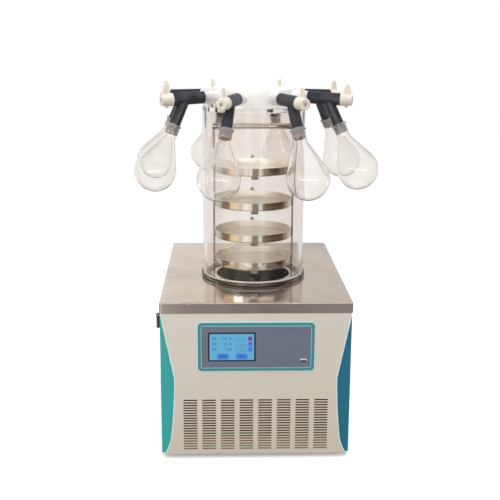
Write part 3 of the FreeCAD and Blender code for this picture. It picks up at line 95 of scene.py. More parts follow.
def noise(material, scale, detail=3.0, stretch=(1, 1, 1)):
    pattern = add_node(material, "ShaderNodeTexNoise")
    pattern.inputs["Scale"].default_value = scale
    pattern.inputs["Detail"].default_value = detail
    join(material, place_on(material, stretch), pattern.inputs["Vector"])
    return pattern.outputs["Fac"]


def ramp(material, factor, stops):
    """Turns a 0-1 pattern into colours; stops are (place, colour)."""
    ramp_node = add_node(material, "ShaderNodeValToRGB")
    elements = ramp_node.color_ramp.elements
    while len(elements) < len(stops):
        elements.new(0.5)
    for element, (place, colour) in zip(elements, stops):
        element.position = place
        element.color = colour
    join(material, factor, ramp_node.inputs["Fac"])
    return ramp_node.outputs["Color"]


def spread(material, factor, low, high):
    """Turns a 0-1 pattern into numbers between low and high."""
    range_node = add_node(material, "ShaderNodeMapRange")
    range_node.inputs["From Min"].default_value = 0.3
    range_node.inputs["From Max"].default_value = 0.7
    range_node.inputs["To Min"].default_value = low
    range_node.inputs["To Max"].default_value = high
    join(material, factor, range_node.inputs["Value"])
    return range_node.outputs["Result"]


def emboss(material, height, depth, strength=1.0):
    """Raises the surface where height is large, by depth in metres."""
    bump = add_node(material, "ShaderNodeBump")
    bump.inputs["Strength"].default_value = strength
    bump.inputs["Distance"].default_value = depth
    join(material, height, bump.inputs["Height"])
    join(material, bump.outputs["Normal"], shader_of(material).inputs["Normal"])


def galvanised(name, dull=tone(132, 134, 137), bright=tone(166, 168, 170)):
    sheet = finish(name, bright, 0.42, metal=1.0)
    mottle = noise(sheet, 60, detail=2)
    join(sheet, ramp(sheet, mottle, [(0.35, dull), (0.65, bright)]),
         shader_of(sheet).inputs["Base Color"])
    join(sheet, spread(sheet, mottle, 0.34, 0.5), shader_of(sheet).inputs["Roughness"])
    return sheet


def finned():
    """Fins edge on, dark brown: painted shade of the cabinet's inside, behind the air slots."""
    # Painted shade: the fins are dark brown, so the cabinet's inside reads dark through the slots.
    block = galvanised("condenser_fins", dull=tone(84, 44, 34), bright=tone(128, 82, 64))
    shader_of(block).inputs["Metallic"].default_value = 0.1
    fins = add_node(block, "ShaderNodeTexWave", wave_profile="SIN")
    fins.inputs["Scale"].default_value = WAVE_SCALE / FINS_APART
    join(block, place_on(block), fins.inputs["Vector"])
    emboss(block, fins.outputs["Fac"], 0.6 * MM)
    return block


def dress(material, *nodes):
    """Puts a material on every slot of the named nodes."""
    for node in nodes:
        for slot in frame["nodes"][node].material_slots:
            slot.material = material


dress(galvanised("zinc_sheet"), "base_pan", "fan_shroud", "power_supply")
FINS_APART = 3 * MM
# A wave texture of scale 1 repeats every 0.314 of a metre.
WAVE_SCALE = 0.314
dress(finned(), "condenser")


# Compressor and fan motor
# The compressor is a pot drawn from steel that stands on rubber mounts.  The pot and the
# motor's can have baked black enamel, with the slight ripple that thick enamel has.

def black_enamel():
    enamel = finish("black_enamel", tone(24, 24, 27), 0.22)
    shader_of(enamel).inputs["Coat Weight"].default_value = 0.5
    ripple = noise(enamel, 90, detail=2)
    emboss(enamel, ripple, 0.3 * MM)
    dust = ramp(enamel, noise(enamel, 25), [(0.4, tone(22, 22, 25)), (0.75, tone(52, 50, 48))])
    join(enamel, dust, shader_of(enamel).inputs["Base Color"])
    return enamel


dress(black_enamel(), "compressor", "fan_motor")


# Fan, mains inlet and switch
# Moulded from black glass-filled plastic with a fine matt grain.  The inlet and the
# switch are set in the back sheet, and the rocker tips in its housing.

def moulded_plastic(name, colour, roughness, grain=900):
    plastic = finish(name, colour, roughness)
    fine = noise(plastic, grain, detail=2)
    emboss(plastic, fine, 0.06 * MM)
    join(plastic, spread(plastic, fine, roughness - 0.06, roughness + 0.08),
         shader_of(plastic).inputs["Roughness"])
    return plastic


dress(moulded_plastic("fan_plastic", tone(30, 30, 32), 0.5), "fan_rotor")
dress(moulded_plastic("inlet_plastic", tone(26, 26, 28), 0.42), "power_inlet", "switch_housing")
dress(moulded_plastic("rocker_plastic", tone(20, 20, 22), 0.3), "switch_rocker")


# Copper lines and the cold trap's coil
# Drawn copper tube, bent to shape and soldered at its ends.  The heat and handling have
# dulled it brown in patches.

def copper():
    tube = finish("copper_tube", tone(176, 108, 76), 0.35, metal=1.0)
    stains = noise(tube, 40)
    colours = ramp(tube, stains, [(0.35, tone(140, 84, 60)), (0.6, tone(190, 120, 86))])
    join(tube, colours, shader_of(tube).inputs["Base Color"])
    join(tube, spread(tube, stains, 0.45, 0.25), shader_of(tube).inputs["Roughness"])
    return tube


dress(copper(), "refrigerant_lines", "evaporator_coil", "vent_line")


# Foam jacket and circuit board
# The jacket is polyurethane foam, cut to fit round the trap.  The board is green
# lacquered laminate and sits behind the control panel.

def foam():
    jacket = finish("cut_foam", tone(222, 205, 160), 0.9)
    cells = add_node(jacket, "ShaderNodeTexVoronoi")
    cells.inputs["Scale"].default_value = 500
    join(jacket, place_on(jacket), cells.inputs["Vector"])
    emboss(jacket, cells.outputs["Distance"], 0.5 * MM)
    return jacket


dress(foam(), "trap_insulation")
dress(moulded_plastic("board_lacquer", tone(28, 92, 56), 0.35, grain=300), "control_board")


# Feet and rubber mounts
# Moulded black rubber, under the base pan and under the compressor.  It is satin where
# clean and greyer where dust has settled.

def rubber(name, colour, roughness):
    material = finish(name, colour, roughness)
    shader = shader_of(material)
    shader.inputs["Specular IOR Level"].default_value = 0.4
    cloud = noise(material, 35)
    grey = tuple(min(1.0, part * 2.2 + 0.004) for part in colour[:3]) + (1.0,)
    join(material, ramp(material, cloud, [(0.45, colour), (0.8, grey)]),
         shader.inputs["Base Color"])
    fine = noise(material, 1400, detail=1)
    emboss(material, fine, 0.05 * MM)
    join(material, spread(material, cloud, roughness - 0.08, roughness + 0.1),
         shader.inputs["Roughness"])
    return material


dress(rubber("foot_rubber", tone(30, 30, 32), 0.6), "feet", "compressor_grommets")


# Fascia
# A one-piece moulded front, sprayed cream.  The spray has a very fine orange peel.  Towards the
# bottom the coat is painted darker and warmer, as shade near the floor.

def sprayed(name, colour, shade, roughness):
    """A sprayed coat: colour over most of it, drifting slowly towards shade."""
    coat = finish(name, colour, roughness)
    drift = noise(coat, 3.5, detail=2)
    join(coat, ramp(coat, drift, [(0.35, colour), (0.75, shade)]),
         shader_of(coat).inputs["Base Color"])
    peel = noise(coat, 700, detail=2)
    emboss(coat, peel, 0.05 * MM, strength=0.6)
    join(coat, spread(coat, peel, roughness - 0.05, roughness + 0.05),
         shader_of(coat).inputs["Roughness"])
    return coat


def between(material, value, start, end):
    """0 where value is at or below start, rising evenly to 1 at end."""
    range_node = add_node(material, "ShaderNodeMapRange")
    range_node.inputs["From Min"].default_value = start
    range_node.inputs["From Max"].default_value = end
    join(material, value, range_node.inputs["Value"])
    return range_node.outputs["Result"]


def blend_colours(material, factor, first, second):
    """The first colour where factor is 0, and the second where it is 1."""
    mix = add_node(material, "ShaderNodeMix", data_type="RGBA")
    join(material, factor, mix.inputs["Factor"])
    for socket, colour in ((mix.inputs[6], first), (mix.inputs[7], second)):
        if isinstance(colour, tuple):
            socket.default_value = colour
        else:
            join(material, colour, socket)
    return mix.outputs[2]


def split(material, vector):
    """The X, Y and Z of a vector."""
    parts = add_node(material, "ShaderNodeSeparateXYZ")
    join(material, vector, parts.inputs["Vector"])
    return parts.outputs


def place_parts(material):
    """X, Y and Z of a point, in metres from the frame's origin."""
    return split(material, add_node(material, "ShaderNodeTexCoord").outputs["Object"])


def facing_parts(material):
    """X, Y and Z of the way that the surface faces."""
    return split(material, add_node(material, "ShaderNodeNewGeometry").outputs["Normal"])


# The painted shade near the floor is full below the first height and gone above the second.
SHADE_FULL_BELOW = 50 * MM
SHADE_GONE_ABOVE = 230 * MM


def fascia_coat():
    """The coat, with painted shade low down, a painted highlight on the side edges, and painted
    shade in the air slots on every upward face.
    """
    coat = sprayed("cream_coat", tone(225, 220, 212), tone(219, 213, 203), 0.42)
    base = shader_of(coat).inputs["Base Color"]
    bare_colour = base.links[0].from_socket
    facing = facing_parts(coat)
    sideways = add_node(coat, "ShaderNodeMath", operation="ABSOLUTE")
    join(coat, facing["X"], sideways.inputs[0])
    # Painted shade near the floor: the face is darker and warmer from 230 mm down, most of all
    # below 50 mm.
    height = between(coat, place_parts(coat)["Z"], SHADE_FULL_BELOW, SHADE_GONE_ABOVE)
    face = blend_colours(coat, height, tone(217, 210, 196), bare_colour)
    # Painted highlight: faces turned to the side, round the fascia's edges, are pale mint.
    edge_highlight_mask = between(coat, sideways.outputs["Value"], 0.2, 0.45)
    face_and_edge_highlight = blend_colours(coat, edge_highlight_mask, face, tone(216, 240, 232))
    # Painted shade in the air slots: every upward face, such as a slot's ledge, is dark brown.
    upward = between(coat, facing["Z"], 0.6, 0.9)
    join(coat, blend_colours(coat, upward, face_and_edge_highlight, tone(118, 82, 68)), base)
    return coat


dress(fascia_coat(), "front_panel")


# Corner trims and case sheets
# The trims are moulded and sprayed teal.  The left is painted lighter and greener as lit, and the
# right darker and bluer as painted shade.
# The sheets are folded steel with a textured teal powder coat.

# Lit and shaded copies of one paint: painted light on the left trim, painted shade on the right.
dress(sprayed("left_trim_lit_coat", tone(47, 174, 174), tone(44, 166, 166), 0.38),
      "left_corner_trim")
dress(sprayed("right_trim_shaded_coat", tone(15, 123, 157), tone(14, 115, 148), 0.38),
      "right_corner_trim")


def powder_coat():
    coat = sprayed("case_coat", tone(44, 132, 142), tone(40, 124, 136), 0.5)
    texture = noise(coat, 420, detail=3)
    emboss(coat, texture, 0.12 * MM)
    return coat


dress(powder_coat(), "left_side_panel", "right_side_panel", "back_panel")


# Deck
# One stainless sheet, brushed from side to side before it was folded.  Years of wiping
# leave a soft, slightly warm sheen that still mirrors what stands on it.

def brushed_steel(name, colour, shade, roughness, along, lines=0.02 * MM):
    """Steel with fine brush lines; along squeezes the pattern into lines."""
    steel = finish(name, colour, roughness, metal=1.0)
    brush = noise(steel, 40, detail=4, stretch=along)
    streaks = add_node(steel, "ShaderNodeMath", operation="MULTIPLY_ADD")
    join(steel, brush, streaks.inputs[0])
    streaks.inputs[1].default_value = 0.6
    join(steel, noise(steel, 4, detail=2), streaks.inputs[2])
    join(steel, ramp(steel, streaks.outputs["Value"], [(0.6, colour), (1.05, shade)]),
         shader_of(steel).inputs["Base Color"])
    emboss(steel, brush, lines)
    join(steel, spread(steel, brush, roughness - 0.05, roughness + 0.05),
         shader_of(steel).inputs["Roughness"])
    return steel


def deck_steel():
    """Brushed steel, with a painted highlight over the bend, from less metal there, and painted
    shade, a darker and bluer tint, on the folded sides below it.
    """
    steel = brushed_steel("deck_steel", tone(216, 206, 196), tone(184, 172, 162), 0.11,
                          (0.5, 22, 22), lines=0.03 * MM)
    upward = facing_parts(steel)["Z"]
    # Painted highlight: less metal over the bend, so that it shows paler there.
    levels = ((0.0, 0.84), (0.2, 0.4), (0.9, 0.4), (0.995, 1.0))
    painted_bend_sheen = ramp(steel, upward, [(up, (level, level, level, 1)) for up, level in levels])
    join(steel, painted_bend_sheen, shader_of(steel).inputs["Metallic"])
    # Painted shade: the folded sides, which face forward, are tinted darker and bluer.
    painted_fold_shade = add_node(steel, "ShaderNodeMix", data_type="RGBA", blend_type="MULTIPLY")
    painted_fold_shade.inputs["Factor"].default_value = 1.0
    base = shader_of(steel).inputs["Base Color"]
    join(steel, base.links[0].from_socket, painted_fold_shade.inputs[6])
    shade = ramp(steel, upward, [(0.0, tone(242, 244, 250)), (0.5, tone(255, 255, 255))])
    join(steel, shade, painted_fold_shade.inputs[7])
    join(steel, painted_fold_shade.outputs[2], base)
    return steel


dress(deck_steel(), "deck_top")


# Control panel frame
# Moulded in one piece.  The frame is dark teal, with a narrow light blue inlay round
# the opening.

def rounded_outline(half_w, half_h, radius, y, steps=8):
    """Points of a rounded rectangle in the XZ plane, anticlockwise from the right."""
    points = []
    for turn, (side_x, side_z) in enumerate(((1, 1), (-1, 1), (-1, -1), (1, -1))):
        for step in range(steps + 1):
            angle = math.radians(90 * turn + 90 * step / steps)
            points.append(Vector((side_x * (half_w - radius) + radius * math.cos(angle), y,
                                  side_z * (half_h - radius) + radius * math.sin(angle))))
    return points


def piece_from(mesh, name, material, body="root", smooth_below=None):
    """A finished piece at the origin, riding on a body of the frame."""
    bmesh.ops.recalc_face_normals(mesh, faces=mesh.faces)
    data = bpy.data.meshes.new(name)
    mesh.to_mesh(data)
    mesh.free()
    for one in (material if isinstance(material, (list, tuple)) else [material]):
        data.materials.append(one)
    piece = bpy.data.objects.new(name, data)
    bpy.context.collection.objects.link(piece)
    if smooth_below is not None:
        data.shade_smooth()
        data.set_sharp_from_angle(angle=math.radians(smooth_below))
    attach(piece, body)
    return piece


bezel_low, bezel_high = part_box("control_bezel")
plate_low, plate_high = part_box("control_plate")
panel_centre = (bezel_low + bezel_high) / 2


def flat_ring(name, half_w, half_h, radius, width, front, depth, material):
    """A flat ring round the panel; half_w, half_h and radius are those of its inner side."""
    ring = bmesh.new()
    inner = [ring.verts.new(p) for p in rounded_outline(half_w, half_h, radius, front)]
    outer = [ring.verts.new(p) for p in
             rounded_outline(half_w + width, half_h + width, radius + width, front)]
    loops = [ring.edges.new((loop[i], loop[i - 1])) for loop in (inner, outer)
             for i in range(len(loop))]
    bmesh.ops.bridge_loops(ring, edges=loops)
    faces = bmesh.ops.extrude_face_region(ring, geom=ring.faces[:])["geom"]
    moved = [part for part in faces if isinstance(part, bmesh.types.BMVert)]
    bmesh.ops.translate(ring, vec=(0, depth, 0), verts=moved)
    bmesh.ops.translate(ring, vec=(panel_centre.x, 0, panel_centre.z), verts=ring.verts)
    return piece_from(ring, name, material, smooth_below=40)


def inlay():
    corner, width, proud, gap = 3 * MM, 2.2 * MM, 0.15 * MM, 0.3 * MM
    half_w = (plate_high.x - plate_low.x) / 2 + gap
    half_h = (plate_high.z - plate_low.z) / 2 + gap
    return flat_ring("panel_inlay", half_w, half_h, corner, width, bezel_low.y - proud,
                     2 * proud, moulded_plastic("inlay_blue", tone(138, 198, 214), 0.35))


inlay()
dress(moulded_plastic("frame_teal", tone(66, 142, 152), 0.32), "control_bezel")


# Pale beads on the front
# Near white strips that paint the highlights on rounded edges: one round the panel frame, and one
# down each joint between the fascia and a corner trim.

front_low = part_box("front_panel")[0]
# Painted highlight: the beads are near white, as light on each edge.
edge_highlight_paint = rubber("edge_highlight_paint", tone(228, 250, 250), 0.4)


def frame_bead():
    corner, width, height, sunk = 9 * MM, 2.6 * MM, 0.5 * MM, 0.2 * MM
    half_w = (bezel_high.x - bezel_low.x) / 2
    half_h = (bezel_high.z - bezel_low.z) / 2
    return flat_ring("frame_bead", half_w, half_h, corner, width, front_low.y - height,
                     height + sunk, edge_highlight_paint)


def fascia_edge(side):
    """Corners of the fascia's face along one side, from the bottom to the top."""
    flush, side_from = 0.01 * MM, 175 * MM
    node = frame["nodes"]["front_panel"]
    corners = {}
    for vertex in node.data.vertices:
        place = node.matrix_world @ vertex.co
        if place.y < front_low.y + flush and place.x * side > side_from:
            corners[round(place.z, 5)] = place
    return [corners[z] for z in sorted(corners)]


def joint_bead(side, name):
    """A strip over the fascia's rounded edge, as far as the trim."""
    width, height, sunk = 2.1 * MM, 0.1 * MM, 1.5 * MM
    section = ((0, -height), (width, -height), (width, sunk), (0, sunk))
    strip = bmesh.new()
    rows = [[strip.verts.new((corner.x + side * across, front_low.y + deep, corner.z))
             for across, deep in section] for corner in fascia_edge(side)]
    for row, above in zip(rows, rows[1:]):
        for i in range(4):
            strip.faces.new((row[i - 1], row[i], above[i], above[i - 1]))
    strip.faces.new(rows[0])
    strip.faces.new(rows[-1])
    return piece_from(strip, name, edge_highlight_paint, smooth_below=30)


frame_bead()
joint_bead(-1, "left_joint_bead")
joint_bead(1, "right_joint_bead")


# Dust filter behind the air slots
# A thin sheet of coarse red-brown felt on the inside of the fascia.  Dust has settled
# in its lower part and made it paler there.

DUSTY_TO = 20 * MM
CLEAN_FROM = 55 * MM


def felt():
    sheet = finish("filter_felt", tone(84, 46, 42), 0.9)
    height = place_parts(sheet)["Z"]
    risen = between(sheet, height, front_low.z + DUSTY_TO, front_low.z + CLEAN_FROM)
    fibres = noise(sheet, 260, detail=3)
    bare_colour = ramp(sheet, fibres, [(0.3, tone(66, 20, 16)), (0.7, tone(98, 42, 36))])
    dusty = ramp(sheet, fibres, [(0.3, tone(176, 146, 114)), (0.7, tone(206, 180, 146))])
    join(sheet, blend_colours(sheet, risen, dusty, bare_colour), shader_of(sheet).inputs["Base Color"])
    emboss(sheet, fibres, 0.4 * MM)
    return sheet


def dust_filter():
    width, height, thickness = 350 * MM, 134 * MM, 1.6 * MM
    fascia_wall, foot = 3 * MM, front_low.z + 9 * MM
    sheet = bmesh.new()
    bmesh.ops.create_cube(sheet, size=1)
    bmesh.ops.scale(sheet, vec=(width, thickness, height), verts=sheet.verts)
    centre = (0, front_low.y + fascia_wall + thickness / 2, foot + height / 2)
    bmesh.ops.translate(sheet, vec=centre, verts=sheet.verts)
    return piece_from(sheet, "dust_filter", felt())


dust_filter()


# Control panel face
# A grey-violet film over a flat plate, with a very fine printed grain.  The plate lies
# in the frame and carries the screen and the data socket.

dress(moulded_plastic("face_film", tone(109, 118, 136), 0.38, grain=1600), "control_plate")


# Touch screen
# A black glass front with the lit picture behind it: three rows of readings, their
# scales, three small keys and two large keys at the bottom.

screen_low, screen_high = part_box("touch_screen")
GLASS_W = 110.5 * MM
GLASS_H = 70.5 * MM
PICTURE_BORDER = 3.2 * MM
screen_centre = Vector(((screen_low.x + screen_high.x) / 2, screen_low.y,
                        (screen_low.z + screen_high.z) / 2))
picture_y = screen_low.y + 0.3 * MM
INK_LIFT = 0.06 * MM
KEY_LIFT = 0.08 * MM
KEY_INK_LIFT = 0.16 * MM


def black_glass():
    glass = finish("screen_glass", tone(14, 15, 20), 0.08)
    shader_of(glass).inputs["Coat Weight"].default_value = 0.6
    smears = noise(glass, 30)
    join(glass, spread(glass, smears, 0.06, 0.14), shader_of(glass).inputs["Roughness"])
    return glass


dress(black_glass(), "touch_screen")


def lit(name, colour, strength):
    """A colour of the picture that glows by itself, with the screen's fine dots."""
    glow = finish(name, colour, 0.25)
    shader = shader_of(glow)
    shader.inputs["Emission Color"].default_value = colour
    shader.inputs["Emission Strength"].default_value = strength
    dots = noise(glow, 1500, detail=1)
    emboss(glow, dots, 0.02 * MM)
    return glow


PICTURE_COLOURS = [lit("picture_sky", tone(88, 160, 201), 0.35),
                   lit("picture_ink", tone(44, 96, 150), 0.15),
                   lit("picture_key", tone(56, 116, 206), 0.3),
                   lit("picture_plum", tone(120, 64, 124), 0.25),
                   lit("picture_violet", tone(92, 100, 196), 0.3)]
SKY, INK, KEY, PLUM, VIOLET = range(5)


def picture_block(mesh, left, top, width, height, colour, lift):
    """A flat block on the picture; left and top are from its upper left corner."""
    half_w = GLASS_W / 2 - PICTURE_BORDER
    half_h = GLASS_H / 2 - PICTURE_BORDER
    centre = Vector((screen_centre.x - half_w + left + width / 2, picture_y - lift,
                     screen_centre.z + half_h - top - height / 2))
    made = bmesh.ops.create_cube(mesh, size=1.0)["verts"]
    bmesh.ops.scale(mesh, vec=(width, 0.1 * MM, height), verts=made)
    bmesh.ops.translate(mesh, vec=centre, verts=made)
    for face in {face for vert in made for face in vert.link_faces}:
        face.material_index = colour


def picture():
    mesh = bmesh.new()

    def ink(left, top, width, height, lift=INK_LIFT):
        picture_block(mesh, left, top, width, height, INK, lift)

    width = GLASS_W - 2 * PICTURE_BORDER
    height = GLASS_H - 2 * PICTURE_BORDER
    picture_block(mesh, 0, 0, width, height, SKY, 0)
    row_pitch, first_row, stroke = 13.2 * MM, 9.0 * MM, 1.1 * MM
    for row in range(3):
        top = first_row + row * row_pitch
        # A name of two signs, each of crossed strokes.
        for sign in range(2):
            left = (5.5 + 6.2 * sign) * MM
            for bar in range(3):
                ink(left, top + bar * 2.2 * MM, 5.0 * MM, stroke * 0.6)
            ink(left + (1.2 + row * 0.9) * MM, top - 0.8 * MM, stroke * 0.7, 6.6 * MM)
        # The reading: each digit has two level strokes and an upright one.
        for digit in range(4 - row):
            left = (27.5 + 3.3 * digit + 6 * row) * MM
            ink(left, top, 2.2 * MM, stroke * 0.6)
            ink(left, top + 4.4 * MM, 2.2 * MM, stroke * 0.6)
            ink(left + 0.8 * MM, top, stroke * 0.6, 5.0 * MM)
        ink(47 * MM, top + 0.4 * MM, 3.4 * MM, 4.2 * MM)
        # The scale: small marks over a line, and a small key beside it.
        for mark in range(5):
            ink((62 + 5.2 * mark) * MM, top + 1.2 * MM, 1.2 * MM, 3.4 * MM)
        ink(60 * MM, top + 8.0 * MM, 27 * MM, stroke * 0.7)
        picture_block(mesh, 90 * MM, top - 2.5 * MM, 9.5 * MM, 10.5 * MM,
                      (PLUM, VIOLET, KEY)[row], KEY_LIFT)
    # The two large keys, with a stroke on each.
    for left in (18 * MM, 62 * MM):
        picture_block(mesh, left, height - 15.5 * MM, 26.5 * MM, 13.5 * MM, KEY, KEY_LIFT)
        ink(left + 7 * MM, height - 10.0 * MM, 12 * MM, 3.0 * MM, lift=KEY_INK_LIFT)
    return piece_from(mesh, "screen_picture", PICTURE_COLOURS)


picture()


# Data socket
# A shell pressed from steel and plated, open at the front.  Its finish is worn softly in patches,
# and it is painted dark along the lower lip as shade, below a painted highlight.

def plated(name, colour, roughness):
    metal = finish(name, colour, roughness, metal=1.0)
    finish_pattern = noise(metal, 300)
    join(metal, spread(metal, finish_pattern, roughness, roughness + 0.15),
         shader_of(metal).inputs["Roughness"])
    return metal


def socket_plating():
    """Near white above, a painted highlight, and dark along the lower lip, painted shade."""
    shell = plated("socket_plating", tone(250, 250, 250), 0.3)
    shader_of(shell).inputs["Metallic"].default_value = 0.4
    socket_low, socket_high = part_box("usb_socket")
    middle = (socket_low.z + socket_high.z) / 2
    # Painted shade and highlight: dark grey below the middle of the socket, near white above it.
    above = between(shell, place_parts(shell)["Z"], middle - 1.4 * MM, middle - 0.4 * MM)
    finish_pattern = ramp(shell, above, [(0.0, tone(84, 82, 86)), (1.0, tone(250, 250, 250))])
    join(shell, finish_pattern, shader_of(shell).inputs["Base Color"])
    return shell


dress(socket_plating(), "usb_socket")


# Vent tail on the left side
# A plated brass elbow with a round flange on the side sheet, and ribs on its tail that
# grip a small hose.  The plating is dull and has darkened in patches.

def dull_metal():
    metal = finish("dull_plating", tone(150, 152, 146), 0.3, metal=0.9)
    grime = noise(metal, 220)
    join(metal, ramp(metal, grime, [(0.35, tone(92, 92, 86)), (0.7, tone(168, 170, 164))]),
         shader_of(metal).inputs["Base Color"])
    return metal


dress(dull_metal(), "vent_fitting")


# Cold trap, vacuum port and drain
# Stainless.  The cup is spun and polished, with brush lines that run round it, and the
# port and the drain are tubes that lead out at the back.

dress(brushed_steel("trap_steel", tone(168, 164, 160), tone(150, 146, 142), 0.24, (1, 1, 30)),
      "cold_trap_well")
dress(brushed_steel("port_steel", tone(190, 188, 186), tone(176, 174, 172), 0.22, (20, 1, 20)),
      "vacuum_port", "drain_line")


# Back sheet screws
# Plated pan-head screws, turned in with a driver: three down each side of the back sheet.  Each
# cross slot is a flat near black cross on the head, painted as the shade in the slot.

def back_screws():
    back_low, back_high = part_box("back_panel")
    head_r, head_h, inset = 3.6 * MM, 2.0 * MM, 8 * MM
    slot_w, slot_l, slot_proud = 0.8 * MM, 4.4 * MM, 0.02 * MM
    above_foot, middle, below_top = 40 * MM, (back_low.z + back_high.z) / 2, 20 * MM
    flange = 15.2 * MM
    face_y = back_low.y + flange
    screws = bmesh.new()
    for x in (back_low.x + inset, back_high.x - inset):
        for z in (back_low.z + above_foot, middle, back_high.z - below_top):
            head = bmesh.ops.create_cone(screws, cap_ends=True, segments=24, radius1=head_r,
                                         radius2=head_r * 0.72, depth=head_h)["verts"]
            turn = Matrix.Rotation(math.radians(-90), 4, "X")
            bmesh.ops.transform(screws, matrix=turn, verts=head)
            bmesh.ops.translate(screws, vec=(x, face_y + head_h / 2, z), verts=head)
            for angle in (0, 90):
                bar = bmesh.ops.create_cube(screws, size=1.0)["verts"]
                bmesh.ops.scale(screws, vec=(slot_l, 0.1 * MM, slot_w), verts=bar)
                bmesh.ops.rotate(screws, matrix=Matrix.Rotation(math.radians(angle + 20), 3, "Y"),
                                 verts=bar)
                bmesh.ops.translate(screws, vec=(x, face_y + head_h + slot_proud, z), verts=bar)
                # Painted shade: the cross is near black, as the shade inside a slot.
                for dark in {face for corner in bar for face in corner.link_faces}:
                    dark.material_index = 1
    return piece_from(screws, "back_screws",
                      [plated("screw_plating", tone(190, 190, 192), 0.25),
                       finish("painted_slot_shade", tone(24, 24, 24), 0.7)], smooth_below=30)


back_screws()


# Chamber
# A cast acrylic tube with a turned top plate, polished clear.  It lets light through
# and shows a faint warm grey in its thickness.

def clear(name, colour, ior, roughness=0.0):
    """Clear solid that bends light, and lets the lamps' light pass to what is inside."""
    material = finish(name, colour, roughness)
    shader = shader_of(material)
    shader.inputs["Transmission Weight"].default_value = 1.0
    shader.inputs["IOR"].default_value = ior
    through = add_node(material, "ShaderNodeBsdfTransparent")
    through.inputs["Color"].default_value = (0.98, 0.98, 0.975, 1)
    rays = add_node(material, "ShaderNodeLightPath")
    mix = add_node(material, "ShaderNodeMixShader")
    output = material.node_tree.nodes["Material Output"]
    join(material, rays.outputs["Is Shadow Ray"], mix.inputs[0])
    join(material, shader.outputs["BSDF"], mix.inputs[1])
    join(material, through.outputs["BSDF"], mix.inputs[2])
    join(material, mix.outputs["Shader"], output.inputs["Surface"])
    return material


def acrylic():
    plastic = clear("clear_acrylic", tone(249, 246, 244), 1.49)
    scuffs = noise(plastic, 8, detail=5, stretch=(1, 1, 0.2))
    join(plastic, spread(plastic, scuffs, 0.0, 0.03), shader_of(plastic).inputs["Roughness"])
    return plastic


dress(acrylic(), "chamber_cylinder", "chamber_top_plate")


# Bead in the chamber's foot
# A pale ring let into the tube's sawn end, a painted highlight that shows as a bright line all
# round.

def foot_highlight_bead():
    low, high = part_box("chamber_cylinder")
    wall, inset, height, lift = 8 * MM, 0.8 * MM, 3.2 * MM, 0.2 * MM
    outer_r = (high.x - low.x) / 2 - inset
    bead = bmesh.new()
    bmesh.ops.create_circle(bead, cap_ends=False, segments=160, radius=outer_r)
    made = bmesh.ops.extrude_edge_only(bead, edges=bead.edges[:])["geom"]
    inner = [part for part in made if isinstance(part, bmesh.types.BMVert)]
    share = (outer_r - wall + 2 * inset) / outer_r
    bmesh.ops.scale(bead, vec=(share, share, 1), verts=inner)
    raised = bmesh.ops.extrude_face_region(bead, geom=bead.faces[:])["geom"]
    top = [part for part in raised if isinstance(part, bmesh.types.BMVert)]
    bmesh.ops.translate(bead, vec=(0, 0, height), verts=top)
    centre = ((low.x + high.x) / 2, (low.y + high.y) / 2, low.z + lift)
    bmesh.ops.translate(bead, vec=centre, verts=bead.verts)
    # Painted highlight: the ring is near white, as light on the end of the wall.
    return piece_from(bead, "foot_highlight_bead",
                      moulded_plastic("painted_foot_highlight", tone(228, 224, 216), 0.5, grain=300),
                      smooth_below=40)


foot_highlight_bead()


# Ring under the chamber
# Moulded silicone rubber, clear but smoky in its thickness, with a satin skin.

def smoky_rubber():
    silicone = clear("smoky_silicone", tone(192, 186, 180), 1.41)
    skin = noise(silicone, 60, detail=3)
    join(silicone, spread(silicone, skin, 0.08, 0.2), shader_of(silicone).inputs["Roughness"])
    return silicone


dress(smoky_rubber(), "seal_ring")


# Manifold drum and lid
# Turned from thick acrylic and left with a fine tool finish, which makes it milky.  The
# nozzles are let into it, and their thin walls look faintly lilac.

TRAP_AXIS_Y = -47 * MM


def from_trap_axis(material, height=0.0):
    """Where a point lies from the chamber's axis: its offset, and its distance across."""
    shift = add_node(material, "ShaderNodeVectorMath", operation="SUBTRACT")
    coordinates = add_node(material, "ShaderNodeTexCoord")
    join(material, coordinates.outputs["Object"], shift.inputs[0])
    shift.inputs[1].default_value = (0, TRAP_AXIS_Y, height)
    flat = add_node(material, "ShaderNodeVectorMath", operation="MULTIPLY")
    join(material, shift.outputs["Vector"], flat.inputs[0])
    flat.inputs[1].default_value = (1, 1, 0)
    reach = add_node(material, "ShaderNodeVectorMath", operation="LENGTH")
    join(material, flat.outputs["Vector"], reach.inputs[0])
    return shift.outputs["Vector"], reach.outputs["Value"]


def step_at(material, value, start, end):
    """0 below start and 1 above end, with a soft step between them."""
    step = add_node(material, "ShaderNodeMapRange", interpolation_type="SMOOTHSTEP")
    step.inputs["From Min"].default_value = start
    step.inputs["From Max"].default_value = end
    join(material, value, step.inputs["Value"])
    return step.outputs["Result"]


NOZZLE_FADE = 3 * MM


def milky():
    plastic = clear("milky_acrylic", tone(250, 249, 247), 1.49)
    shader = shader_of(plastic)
    shader.inputs["Transmission Weight"].default_value = 0.45
    tooling = noise(plastic, 9, detail=2, stretch=(1, 1, 3))
    join(plastic, spread(plastic, tooling, 0.3, 0.38), shader.inputs["Roughness"])
    drum_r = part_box("manifold_lid")[1].x
    reach = from_trap_axis(plastic)[1]
    nozzle = step_at(plastic, reach, drum_r, drum_r + NOZZLE_FADE)
    join(plastic, blend_colours(plastic, nozzle, tone(250, 249, 247), tone(234, 230, 233)),
         shader.inputs["Base Color"])
    return plastic


dress(milky(), "manifold_drum", "manifold_lid")


# Rack
# A polished stainless base ring, two rods, a top bar and four crossed shelves, welded
# into one frame that carries the dishes.  It lifts out of the chamber.

dress(brushed_steel("rack_steel", tone(206, 202, 197), tone(190, 186, 181), 0.09, (1, 1, 1)),
      "rack_frame")


# Dishes
# Pressed stainless dishes.  The outside is turned bright; the inside is satin and warm,
# from the residue that drying leaves.

